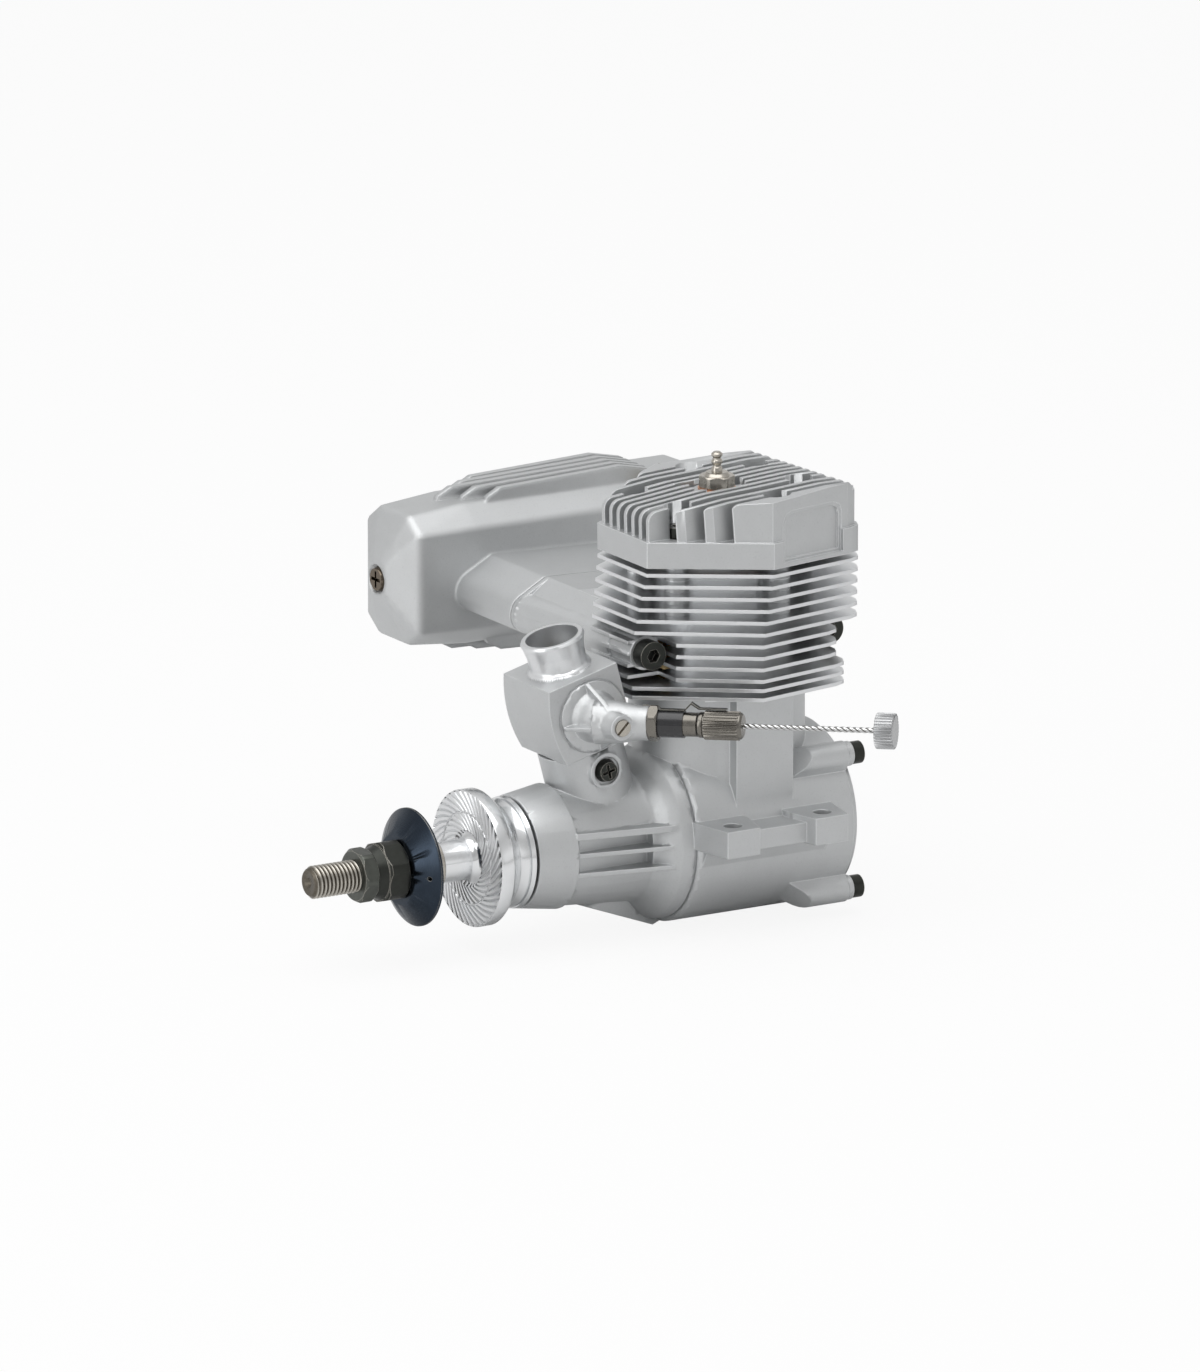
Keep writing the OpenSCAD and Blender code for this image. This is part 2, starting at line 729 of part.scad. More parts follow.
module plug_washer() color(copper) {
    difference() {
        rod_z(4.6, plug_seat_z, plug_seat_z + plug_washer_t);
        rod_z(plug_r, plug_seat_z - 1, plug_seat_z + 1);
    }
}

// Backplate

module backplate_plan(grow = 0) {
    circle(r = chamber_r + 2.6 + grow);
    for (sx = [1, -1], sz = [1, -1])
        translate([sx * case_screw_x, sz * case_screw_z]) circle(r = case_boss_r - 0.3 + grow);
}

module backplate() color(cast_grey) {
    plug_r_out = chamber_r - run_gap;
    plug_len = 11;
    difference() {
        union() {
            plate_y(backplate_front, backplate_front + backplate_t) backplate_plan();
            rod_y(plug_r_out, backplate_front - plug_len, backplate_front + eps);
        }
        rod_y(plug_r_out - 2.4, backplate_front - plug_len - 1, backplate_front - 1.2);
        for (sx = [1, -1], sz = [1, -1])
            rod_y(case_screw_r + 0.1, case_rear - 1, case_rear + 4, sx * case_screw_x, sz * case_screw_z);
    }
}

module backplate_gasket() color(gasket_grey) {
    difference() {
        plate_y(case_rear, backplate_front) backplate_plan(-0.1);
        rod_y(chamber_r, case_rear - 1, case_rear + 1);
        for (sx = [1, -1], sz = [1, -1])
            rod_y(case_screw_r + 0.1, case_rear - 1, case_rear + 1, sx * case_screw_x, sz * case_screw_z);
    }
}

module backplate_screws() color(black_oxide) {
    for (sx = [1, -1], sz = [1, -1])
        translate([sx * case_screw_x, backplate_front + backplate_t, sz * case_screw_z])
            along_y() cap_screw(case_screw_r, case_screw_head_r, case_screw_head_h, 10, 2.5);
}

// Ball bearings, each [outer radius, inner radius, width, front face]

function ball_orbit(b) = (b[0] + b[1]) / 2;
function ball_r(b) = (b[0] - b[1]) / 2 - race_t + 0.55;

module raceway(b) {
    along_y() rotate_extrude() translate([ball_orbit(b), -b[3] + b[2] / 2]) circle(r = ball_r(b) + 0.04);
}

module outer_race(b) {
    difference() {
        rod_y(b[0] - 0.01, -b[3], -b[3] + b[2]);
        rod_y(b[0] - race_t, -b[3] - 1, -b[3] + b[2] + 1);
        raceway(b);
    }
}

module inner_race(b) {
    difference() {
        rod_y(b[1] + race_t, -b[3], -b[3] + b[2]);
        rod_y(b[1] + 0.01, -b[3] - 1, -b[3] + b[2] + 1);
        raceway(b);
    }
}

module ball_cage(b, n) {
    gap = b[0] - b[1] - 2 * race_t;
    for (k = [0:n - 1])
        rotate([0, k * 360 / n, 0]) translate([ball_orbit(b), -b[3] + b[2] / 2, 0]) sphere(r = ball_r(b));
    difference() {
        rod_y(ball_orbit(b) + gap / 2 - 0.3, -b[3] + b[2] / 2 - 0.5, -b[3] + b[2] / 2 + 0.5);
        rod_y(ball_orbit(b) - gap / 2 + 0.3, -b[3] - 1, -b[3] + b[2] + 1);
    }
}

module rear_outer_race() color(bare_steel) outer_race(rear_brg);

module rear_inner_race() color(bare_steel) inner_race(rear_brg);

module rear_ball_cage() color(bare_steel) ball_cage(rear_brg, 11);

module front_outer_race() color(bare_steel) outer_race(front_brg);

module front_inner_race() color(bare_steel) inner_race(front_brg);

module front_ball_cage() color(bare_steel) ball_cage(front_brg, 9);

// Crankshaft and propeller drive

module crankshaft() color(bare_steel) {
    chamfer = 0.9;
    front_len = hub_front - 2;
    difference() {
        union() {
            rod_y(web_r, -web_front, -web_rear);
            rod_y(main_d / 2, -tunnel_end, -web_front + eps);
            rod_y(front_d / 2, -front_len, -tunnel_end + eps);
            turned_y([[0, -shaft_tip], [thread_d / 2 - chamfer, -shaft_tip], [thread_d / 2, -shaft_tip + chamfer],
                [thread_d / 2, -nuts_front - seat_gap], [thread_mid_r, -nuts_front - seat_gap], [thread_mid_r, -nuts_rear],
                [thread_d / 2, -nuts_rear], [thread_d / 2, -front_len + eps], [0, -front_len + eps]]);
        }
        // Counterweight: the web is cut away on both sides of the crankpin
        both_x() box([8.6, -web_front - 1, -2], [30, -web_rear + 1, 30]);
        // Gas passage and its inlet window
        rod_y(5.4, -42, 0);
        box([-4.6, -42, 2], [4.6, -30.5, 20]);
        // Centre hole in the tip
        turned_y([[0, -shaft_tip - 1], [1.2, -shaft_tip - 1], [1.2, -shaft_tip + 0.6], [0, -shaft_tip + 1.8]]);
    }
}

module drive_hub() color(bright_alloy) {
    serration_depth = 0.5;
    face = -hub_front;
    difference() {
        turned_y([[0, -hub_rear], [nose_r - 0.6, -hub_rear], [nose_r - 0.1, -hub_rear - 0.5], [nose_r - 0.3, -hub_rear - 1.6],
            [nose_r - 0.9, -hub_rear - 1.7], [nose_r - 0.9, -hub_rear - 2.1], [nose_r - 0.5, -hub_rear - 2.2],
            [hub_waist_r, -hub_rear - 4],
            [hub_r - 0.4, face + hub_rim_t + 0.5], [hub_r, face + hub_rim_t], [hub_r, face + 0.4], [hub_r - 0.4, face],
            [11.4, face], [11.1, face + 0.5], [6.6, face + 0.5], [5.6, face], [hub_nose_r, face - 0.8],
            [hub_nose_r, face - hub_nose_len], [0, face - hub_nose_len]]);
        turned_y([[0, -hub_rear + 1], [collet_r1, -hub_rear + 1], [collet_r1, -hub_rear], [collet_r2, -hub_rear - collet_len],
            [front_d / 2 + 0.02, -hub_rear - collet_len], [front_d / 2 + 0.02, -hub_front + 1.99],
            [thread_bore_r, -hub_front + 1.99], [thread_bore_r, face - 20], [0, face - 20]]);
        // Slanted serrations that grip the propeller
        for (k = [0:29])
            rotate([0, k * 12, 0])
                translate([14, face, 0])
                    rotate([0, 32, 0]) translate([-4, -1, -0.45]) cube([8, 1 + serration_depth, 0.9]);
    }
}

module hub_collet() color(brass) {
    rear = -front_brg[3];
    difference() {
        turned_y([[front_d / 2 + 0.02, rear], [collet_r1 - 0.4, rear], [collet_r1 - 0.4, -hub_rear], [collet_r1, -hub_rear],
            [collet_r2, -hub_rear - collet_len], [front_d / 2 + 0.02, -hub_rear - collet_len]]);
        box([-0.4, -hub_rear - 20, 0], [0.4, rear + 1, 20]);
    }
}

module pilot_ring() color(nickel) {
    y0 = -hub_front - hub_nose_len - ring_len;
    difference() {
        turned_y([[0, y0], [ring_r - 0.4, y0], [ring_r, y0 + 0.4], [ring_r, y0 + ring_len - 0.4],
            [ring_r - 0.4, y0 + ring_len], [0, y0 + ring_len]]);
        rod_y(thread_bore_r, y0 - 1, y0 + ring_len + 1);
    }
}

module prop_washer() color(blued_steel) {
    rim = -washer_rim_y;
    cone = rim - washer_cone_h;
    difference() {
        turned_y([[thread_bore_r, cone], [8.2, cone], [8.8, cone + 0.4], [washer_r - 0.4, rim], [washer_r, rim + 0.4],
            [washer_r, rim + washer_rim_t - 0.2], [washer_r - 0.3, rim + washer_rim_t], [washer_r - 1.2, rim + washer_rim_t],
            [8.4, cone + 2.2], [ring_r - 0.6, cone + 2.2], [ring_r - 0.6, -hub_front - hub_nose_len - ring_len],
            [thread_bore_r, -hub_front - hub_nose_len - ring_len]]);
        rod_y(0.5, cone - 1, rim + 4, washer_r - 2.6, 0);
    }
}

module prop_nut() color(black_oxide) {
    y0 = -nuts_rear;
    collar = prop_nut_len - 5.6;
    difference() {
        union() {
            translate([0, y0, 0]) rotate([90, 0, 0]) hex_form(prop_nut_af, 5.6 + eps, 0.5);
            translate([0, y0 - 5.6, 0]) rotate([90, 0, 0]) cylinder(r1 = prop_nut_af / 2 - 0.3, r2 = prop_nut_af / 2 - 1.4, h = collar);
        }
        rod_y(thread_mid_r + run_gap, y0 - prop_nut_len - 1, y0 + 1);
    }
}

module lock_nut() color(black_oxide) {
    y0 = -nuts_rear - prop_nut_len;
    difference() {
        translate([0, y0, 0]) rotate([90, 0, 0]) rotate([0, 0, 30]) hex_form(lock_nut_af, lock_nut_len, 0.6);
        rod_y(thread_mid_r + run_gap, y0 - lock_nut_len - 1, y0 + 1);
    }
}

// Piston and rod

module piston() color(bright_alloy) {
    wall = 1.6;
    crown_t = 2.4;
    skirt_z = crown_z - piston_len;
    difference() {
        rod_z(piston_r, skirt_z, crown_z);
        difference() {
            rod_z(piston_r - wall, skirt_z - 1, crown_z - crown_t);
            both_y() box([-5, rod_half_t + 1.2, wrist_z - 5.4], [5, 20, crown_z]);
        }
        rod_y(wrist_r + 0.02, -20, 20, 0, wrist_z);
        // Skirt cut away for the crank web fore and aft
        both_y() box([-6, 6, skirt_z - 1], [6, 20, skirt_z + 3]);
    }
}

module wrist_pin() color(bare_steel) {
    half = piston_r - 2;
    difference() {
        rod_y(wrist_r, -half, half, 0, wrist_z);
        rod_y(wrist_r - 1.1, -half - 1, half + 1, 0, wrist_z);
    }
}

module pin_retainers() color(rubber_black) {
    both_y() rod_y(wrist_r - 1.15, piston_r - 3.4, piston_r - 0.5, 0, wrist_z);
}

module connecting_rod() color(bright_alloy) {
    big_r = 5.7;
    small_r = 5;
    bush_r = crankpin_d / 2 + 0.9;
    difference() {
        union() {
            rod_y(big_r, -rod_half_t, rod_half_t, 0, crank_throw);
            rod_y(small_r, -rod_half_t, rod_half_t, 0, wrist_z);
            plate_y(-rod_half_t + 0.6, rod_half_t - 0.6)
                polygon([[-3.8, crank_throw], [3.8, crank_throw], [3, wrist_z], [-3, wrist_z]]);
        }
        rod_y(bush_r, -10, 10, 0, crank_throw);
        rod_y(wrist_r + run_gap, -10, 10, 0, wrist_z);
        both_y() plate_y(rod_half_t - 1.6, rod_half_t + 1)
            polygon([[-2.2, crank_throw + 8], [2.2, crank_throw + 8], [1.7, wrist_z - 7.4], [-1.7, wrist_z - 7.4]]);
        // Oil hole
        rod_z(0.8, 0, crank_throw, 0, 0);
    }
}

module big_end_bush() color(bronze) {
    difference() {
        rod_y(crankpin_d / 2 + 0.9, -rod_half_t, rod_half_t, 0, crank_throw);
        rod_y(crankpin_d / 2 + run_gap, -10, 10, 0, crank_throw);
    }
}

module crankpin() color(bare_steel) {
    difference() {
        rod_y(crankpin_d / 2, -web_rear + seat_gap, rod_half_t + 0.5, 0, crank_throw);
        rod_y(1.4, -10, 10, 0, crank_throw);
    }
}

// Carburettor

// Carburettor casting about the rotor's axis
module carb_casting() {
    half = carb_w / 2;
    intersection() {
        box([-half, -carb_front, -carb_bottom], [half, carb_rear, carb_top]);
        rod_x(carb_front_curve_r, -half - 1, half + 1, carb_front_curve_r - carb_front, 0.5);
    }
    // Intake stub
    translate([0, throat_y, carb_top - eps]) rotate_extrude()
        polygon([[0, 0], [stub_base_r + 1, 0], [stub_base_r + 0.7, 0.7], [stub_base_r, 1.4], [stub_base_r + 0.1, 4.4],
            [stub_rim_r - 0.3, stub_h - 1.5], [stub_rim_r, stub_h - 0.6], [stub_rim_r - 0.4, stub_h], [0, stub_h]]);
    // Spigot that fits the crankcase neck
    rod_z(spigot_r, -carb_bottom - spigot_len, -carb_bottom + 1);
    // Needle side: flange, dome and end boss
    translate([half - eps, 0, 0]) along_x() rotate_extrude()
        polygon([[0, 0], [flange_r, 0], [flange_r, 0.8], [6.4, 1.2], [5.6, 2.4], [5.1, 4.6], [4.3, 7], [3.6, 9],
            [collar_r, boss_end_x - half - 1.4], [collar_r, boss_end_x - half], [0, boss_end_x - half]]);
    for (a = [0, 90, 180])
        translate([half, 0, 0]) rotate([a, 0, 0]) plate_y(-0.5, 0.5)
            polygon([[0, 2], [0, flange_r], [1, flange_r], [6.6, 5.6], [9.4, collar_r + 0.4], [9.4, 2]]);
    // Throttle side collar
    rod_x(8.4, -half - 1.6, -half + 1, 0, 0);
}

module carb_passages() {
    half = carb_w / 2;
    translate([0, throat_y, 0]) {
        rod_z(throat_r, 0, carb_top + 1);
        rod_z(intake_r, carb_top + stub_h - intake_depth, carb_top + 20);
    }
    rod_z(stop_screw_r + run_gap, carb_top - stop_screw_len - 0.4, carb_top + 1, stop_screw_at[0], stop_screw_at[1]);
    rod_z(air_bore_d / 2, -carb_bottom - 20, 0);
    // Rotor bore, open towards the throttle lever
    rod_x(rotor_d / 2 + run_gap, -half - 5, half - 1.6, 0, 0);
    rod_x(mix_screw_r + run_gap, half - 2, boss_end_x + 1, 0, 0);
    // Groove around the flange
    translate([half, 0, 0]) along_x() difference() {
        translate([0, 0, -0.3]) cylinder(r = flange_r + 0.45, h = 0.6);
        translate([0, 0, -1]) cylinder(r = flange_r, h = 3);
    }
}

module carburettor_body() color(cast_grey) {
    difference() {
        union() {
            on_carb() carb_casting();
            // Arm that carries the needle valve
            on_needle() rotate_extrude() polygon([[0, -2], [5.4, -2], [5, 4], [arm_r, 9], [arm_r, arm_len], [0, arm_len]]);
            on_needle() translate([0, 0, fuel_nipple_at]) along_y() cylinder(r = 2.7, h = fuel_boss_len);
        }
        on_carb() carb_passages();
        on_needle() translate([0, 0, holder_start - 0.6]) cylinder(r = holder_r + run_gap, h = 40);
    }
}

module on_needle() {
    translate([needle_x0, rotor_y, needle_z]) rotate([0, 0, needle_turn]) rotate([0, 90 - needle_rise, 0]) children();
}

module carb_seal() color(rubber_black) {
    on_carb() difference() {
        rod_z(spigot_r + 1.2, neck_top, -carb_bottom);
        rod_z(spigot_r, neck_top - 1, -carb_bottom + 1);
    }
}

module carb_retainer_screw() color(black_oxide) {
    on_carb() translate([10, 0, neck_screw_at]) along_x() cross_screw(1.45, 2.9, 1.9, 2.8);
}

module throttle_rotor() color(brass) {
    half = carb_w / 2;
    on_carb() difference() {
        union() {
            rod_x(rotor_d / 2, -half - 1.6, half - 2, 0, 0);
            rod_x(2.4, lever_x - 0.6, -half, 0, 0);
        }
        rod_z(air_bore_d / 2, -20, 20);
        rod_x(1.3, lever_x - 2, lever_x + 4, 0, 0);
    }
}

module throttle_lever() color(bare_steel) {
    on_carb() rotate([lever_rest - 90, 0, 0]) difference() {
        plate_x(lever_x - 0.6, lever_x + 0.6) union() {
            circle(r = 4.4);
            polygon([[-3.4, 0], [3.4, 0], [2, lever_len], [-2, lever_len]]);
            translate([0, lever_len]) circle(r = 2.6);
        }
        rod_x(2.4, lever_x - 2, lever_x + 2, 0, 0);
        for (z = [lever_len, lever_len - 4]) rod_x(0.9, lever_x - 2, lever_x + 2, 0, z);
    }
}

module lever_screw() color(black_oxide) {
    on_carb() translate([lever_x - 0.6, 0, 0]) mirror([1, 0, 0]) along_x() cross_screw(1.28, 3.2, 1.8, 3);
}

module throttle_stop_screw() color(bare_steel) {
    on_carb() translate([stop_screw_at[0], stop_screw_at[1], carb_top + seat_gap]) cross_screw(stop_screw_r, 2, 1.6, stop_screw_len);
}

module mixture_screw() color(brass) {
    on_carb() difference() {
        rod_x(mix_screw_r, boss_end_x - 6, boss_end_x + 0.4, 0, 0);
        rotate([30, 0, 0]) box([boss_end_x - 0.6, -3, -0.3], [boss_end_x + 1, 3, 0.3]);
    }
}

module needle_holder() color(nickel) {
    on_needle() difference() {
        union() {
            translate([0, 0, holder_start]) cylinder(r = holder_r, h = arm_len - holder_start + 1);
            translate([0, 0, arm_len]) cylinder(r = 2.3, h = holder_tip - arm_len - 2);
            translate([0, 0, arm_len + nut_len + sleeve_len]) cylinder(r = 2.9, h = holder_tip - arm_len - nut_len - sleeve_len);
        }
        cylinder(r = 1.1, h = 60);
    }
}

module holder_nut() color(nickel) {
    on_needle() translate([0, 0, arm_len]) difference() {
        hex_form(8, nut_len, 0.4);
        translate([0, 0, -1]) cylinder(r = 2.3, h = 10);
    }
}

module holder_sleeve() color(rubber_black) {
    on_needle() translate([0, 0, arm_len + nut_len]) difference() {
        cylinder(r = 3.3, h = sleeve_len);
        translate([0, 0, -1]) cylinder(r = 2.3, h = 20);
    }
}

module ratchet_spring() color(black_oxide) {
    r = 3.32;
    on_needle() rotate([0, 0, 180]) {
        plate_y(-0.7, 0.7) polygon([[r, arm_len + nut_len + 0.3], [r + 0.35, arm_len + nut_len + 0.3],
            [r + 0.35, 19.6], [r + 2.2, 21.4], [r + 0.85, 23.4], [r + 0.85, 30], [r + 0.5, 30],
            [r + 0.5, 23.2], [r + 1.7, 21.4], [r, 19.8]]);
    }
}

module fuel_nipple() color(nickel) {
    on_needle() translate([0, fuel_boss_len, fuel_nipple_at]) along_y() difference() {
        rotate_extrude() polygon([[0, 0], [2.3, 0], [2.3, 1.6], [1.4, 1.8], [1.4, 6], [1.6, 6.4], [1.2, 7.8], [0, 7.8]]);
        translate([0, 0, -2]) cylinder(r = 0.8, h = 12);
    }
}

module needle_thimble() color(nickel) {
    r = thimble_d / 2;
    on_needle() {
        difference() {
            translate([0, 0, thimble_start]) rotate_extrude()
                polygon([[0, 0], [r - 0.4, 0], [r - 0.4, 0.6], [r, 0.9], [r, thimble_len - 0.8], [r - 0.8, thimble_len], [0, thimble_len]]);
            translate([0, 0, thimble_start - 1]) cylinder(r = 1.05, h = 3);
        }
        translate([0, 0, holder_start]) cylinder(r = 1.05, h = thimble_start + 1 - holder_start);
    }
}

module needle_wire() color(bare_steel) {
    on_needle() translate([0, 0, thimble_start + thimble_len]) cylinder(d = wire_d, h = knob_start - thimble_start - thimble_len);
}

module needle_knob() color(bright_alloy) {
    on_needle() translate([0, 0, knob_start]) difference() {
        rotate_extrude() polygon([[0, 0], [knob_d / 2 - 0.3, 0], [knob_d / 2, 0.3], [knob_d / 2, knob_len - 0.3],
            [knob_d / 2 - 0.3, knob_len], [0, knob_len]]);
        translate([0, 0, knob_len / 2]) rotate([0, 90, 0]) cylinder(r = 0.9, h = 20);
    }
}

module knob_screw() color(black_oxide) {
    on_needle() translate([0.4, 0, knob_start + knob_len / 2]) rotate([0, 90, 0]) cylinder(r = 0.85, h = knob_d / 2 - 0.6);
}

// Muffler

module exhaust_gasket() color(gasket_grey) {
    difference() {
        plate_x(-joint_x - exhaust_gasket_t, -joint_x) duct_outline(-0.3);
        plate_x(-joint_x - 1, -joint_x + 1) duct_passage();
        both_y() rod_x(bolt_r + 0.1, -joint_x - 1, -joint_x + 1, -bolt_y, bolt_z);
    }
}

module muffler_bolts() color(black_oxide) {
    both_y() translate([bolt_tube_x, -bolt_y, bolt_z]) along_x()
        cap_screw(bolt_r, bolt_head_r, bolt_head_h, bolt_tube_x + joint_x + 12, 3);
}

module muffler_blob(stations, r) {
    hull() for (s = stations, p = muffler_section(s[1], s[2]))
        translate([muffler_x + p[0] * (1 - r / 13), s[0], muffler_z + p[1] * (1 - r / 14)]) sphere(r = max(r, 0.01), $fn = 16);
}

// Seat of the pressure nipple, on the muffler's slanted shoulder
module at_nipple() {
    translate([muffler_x + 10.6, 25, muffler_z + 15.6]) rotate([0, 36, 0]) children();
}

module muffler_ridges() {
    for (side = [1, -1], k = [-2:2]) {
        y0 = -29.4 + abs(k) * 4.9;
        base = 14;
        top = 20.1;
        translate([muffler_x, 0, muffler_z]) mirror([0, 0, side < 0 ? 1 : 0])
            plate_x(k * muffler_fin_pitch - muffler_ridge_t / 2, k * muffler_fin_pitch + muffler_ridge_t / 2)
                polygon([[y0 - 2, base], [y0, 18.2], [y0 + 3.6, top], [18, top + 1.2], [26.4, top - 0.6],
                    [muffler_joint_y - 0.4, 18.6], [muffler_joint_y - 0.4, base]]);
    }
}

module muffler_body() color(cast_grey) {
    inner_k = 1 - muffler_wall / 13;
    difference() {
        union() {
            difference() {
                muffler_blob([[-46.4 + 2.2, 0.3, 0], [-42.4 + 2.2, 0.96, 0.3], [-26, 1, 1.2], [muffler_joint_y + 10, 1, 1.2]], 2.2);
                box([-far, muffler_joint_y, 0], [0, far, far]);
            }
            muffler_ridges();
            plate_x(neck_end_x - 2, -joint_x - exhaust_gasket_t) duct_outline();
        }
        // Room for the rear shell beside the neck
        box([-far, muffler_joint_y, 0], [-muffler_near_x + 0.9, far, far]);
        muffler_blob([[-40.5, 0.7 * inner_k, 0], [-38, inner_k * 0.95, 0], [muffler_joint_y + 10, inner_k * 0.98, 0.6]], 0);
        plate_x(neck_end_x - 3.4, -joint_x + 1) duct_passage();
        both_y() rod_x(bolt_r, -joint_x - 14, -joint_x + 1, -bolt_y, bolt_z);
        rod_y(muffler_screw_r + 0.1, -60, -30, muffler_x, muffler_screw_z);
        rod_y(3.7, -60, -44.6, muffler_x, muffler_screw_z);
        at_nipple() translate([0, 0, -8]) cylinder(r = nipple_r, h = 30);
        at_nipple() cylinder(r = 3.3, h = 10);
    }
}

module muffler_baffle() color(bare_steel) {
    t = 0.8;
    y0 = muffler_joint_y - 1.2;
    difference() {
        plate_y(y0, y0 + t) translate([muffler_x, muffler_z]) polygon(muffler_section(0.79));
        rod_y(muffler_screw_r + 0.1, y0 - 1, y0 + 2, muffler_x, muffler_screw_z);
        for (p = [[6, 6], [-6, 6], [6, -6], [-6, -6], [0, -10]])
            rod_y(2, y0 - 1, y0 + 2, muffler_x + p[0], muffler_z + p[1]);
    }
}

module muffler_seal() color(rubber_black) {
    difference() {
        plate_y(muffler_joint_y, muffler_joint_y + 0.4) translate([muffler_x, muffler_z]) polygon(muffler_section(0.96));
        plate_y(muffler_joint_y - 1, muffler_joint_y + 1) translate([muffler_x, muffler_z]) polygon(muffler_section(0.86));
    }
}

module muffler_rear() color(cast_grey) {
    y0 = muffler_joint_y + 0.4;
    difference() {
        union() {
            difference() {
                muffler_blob([[y0 - 8, 1.03, 1.6], [y0 + 10, 1.03, 1.6], [46, 0.9, 0], [51, 0.5, 0]], 2.2);
                box([-far, -far, 0], [0, y0, far]);
            }
            rod_y(tail_r, tail_root, tail_tip, muffler_x, tail_z);
            rod_y(tail_r + 0.6, tail_root, tail_tip - tail_seat_len, muffler_x, tail_z);
            rod_y(4, y0 + 4, 50, muffler_x, muffler_screw_z);
        }
        difference() {
            muffler_blob([[y0 - 8, 0.84, 0], [y0 + 10, 0.84, 0], [44, 0.7, 0], [48.4, 0.4, 0]], 0);
            rod_y(4, y0 + 4, 50, muffler_x, muffler_screw_z);
        }
        rod_y(tail_bore_d / 2, tail_root, tail_tip + 1, muffler_x, tail_z);
        rod_y(muffler_screw_r, y0 - 1, 47, muffler_x, muffler_screw_z);
    }
}

module muffler_screw() color(nickel) {
    translate([muffler_x, -44.6, muffler_screw_z]) rotate([90, 0, 0]) cross_screw(muffler_screw_r - 0.02, 3.4, 2, 44.6 + 46);
}

module pressure_nipple() color(nickel) {
    at_nipple() difference() {
        rotate_extrude() polygon([[0, -3.4], [nipple_r - 0.02, -3.4], [nipple_r - 0.02, 0.1], [3, 0.1], [3, 1.7], [1.5, 2], [1.5, 5.4],
            [1.7, 5.8], [1.3, 7.4], [0, 7.4]]);
        translate([0, 0, -5]) cylinder(r = 0.8, h = 20);
    }
}

crankcase();
cylinder_liner();
head_gasket();
cylinder_head();
head_screws();
glow_plug();
plug_washer();
backplate();
backplate_gasket();
backplate_screws();
rear_outer_race();
front_outer_race();
rear_inner_race();
front_inner_race();
rear_ball_cage();
front_ball_cage();
crankshaft();
drive_hub();
hub_collet();
pilot_ring();
prop_washer();
prop_nut();
lock_nut();
piston();
wrist_pin();
pin_retainers();
connecting_rod();
big_end_bush();
crankpin();
carburettor_body();
carb_seal();
carb_retainer_screw();
throttle_rotor();
throttle_lever();
lever_screw();
throttle_stop_screw();
mixture_screw();
needle_holder();
holder_nut();
holder_sleeve();
ratchet_spring();
fuel_nipple();
needle_thimble();
needle_wire();
needle_knob();
knob_screw();
exhaust_gasket();
muffler_bolts();
muffler_body();
muffler_baffle();
muffler_seal();
muffler_rear();
muffler_screw();
pressure_nipple();
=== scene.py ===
"""Model aircraft engine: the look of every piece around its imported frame, with a studio stage."""

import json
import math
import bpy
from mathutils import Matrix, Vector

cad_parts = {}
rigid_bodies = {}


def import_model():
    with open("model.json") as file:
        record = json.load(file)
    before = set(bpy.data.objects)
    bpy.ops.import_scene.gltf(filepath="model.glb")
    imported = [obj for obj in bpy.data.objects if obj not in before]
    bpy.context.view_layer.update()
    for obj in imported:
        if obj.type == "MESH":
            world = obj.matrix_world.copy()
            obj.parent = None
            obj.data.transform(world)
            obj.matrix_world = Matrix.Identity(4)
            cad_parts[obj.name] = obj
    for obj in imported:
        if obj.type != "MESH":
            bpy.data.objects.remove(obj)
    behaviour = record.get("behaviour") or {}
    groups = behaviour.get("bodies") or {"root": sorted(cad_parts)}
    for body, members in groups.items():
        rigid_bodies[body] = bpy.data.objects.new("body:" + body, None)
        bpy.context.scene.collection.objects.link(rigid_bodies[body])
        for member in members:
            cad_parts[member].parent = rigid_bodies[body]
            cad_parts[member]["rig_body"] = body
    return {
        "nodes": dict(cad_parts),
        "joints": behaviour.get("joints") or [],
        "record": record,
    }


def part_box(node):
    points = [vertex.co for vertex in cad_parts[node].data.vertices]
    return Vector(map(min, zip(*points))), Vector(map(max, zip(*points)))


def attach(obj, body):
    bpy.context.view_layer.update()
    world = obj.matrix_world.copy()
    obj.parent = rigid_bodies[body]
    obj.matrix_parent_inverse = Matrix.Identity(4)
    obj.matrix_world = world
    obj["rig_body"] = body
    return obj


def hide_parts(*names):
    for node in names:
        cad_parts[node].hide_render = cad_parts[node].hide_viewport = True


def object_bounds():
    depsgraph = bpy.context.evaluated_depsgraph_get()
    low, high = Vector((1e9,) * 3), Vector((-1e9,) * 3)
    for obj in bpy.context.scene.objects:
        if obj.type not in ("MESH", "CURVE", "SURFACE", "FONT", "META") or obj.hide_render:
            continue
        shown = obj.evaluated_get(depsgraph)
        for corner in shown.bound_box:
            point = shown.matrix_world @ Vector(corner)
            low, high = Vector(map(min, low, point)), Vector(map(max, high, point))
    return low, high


bl_info = {
    "name": "Model aircraft engine",
    "version": (1, 0, 0),
    "blender": (4, 5, 0),
    "location": "View3D > Sidebar > Engine",
    "description": "Dresses a two-stroke engine's pieces and sets its studio stage",
    "category": "Object",
}

import bmesh
import bpy
from bpy.props import FloatProperty, FloatVectorProperty, IntProperty, PointerProperty
from mathutils import Matrix, Vector

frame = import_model()
cad_low, cad_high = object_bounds()

MM = 0.001
PHOTO_WIDTH = 1200
PHOTO_HEIGHT = 1372
SENSOR = 36.0

joints = {joint["name"]: joint for joint in frame["joints"]}
mounts = {mount["name"]: mount for mount in frame["record"]["mounts"]}
slots = {part["node"]: part["material_slot"] for part in frame["record"]["subparts"]}


# Places in the frame

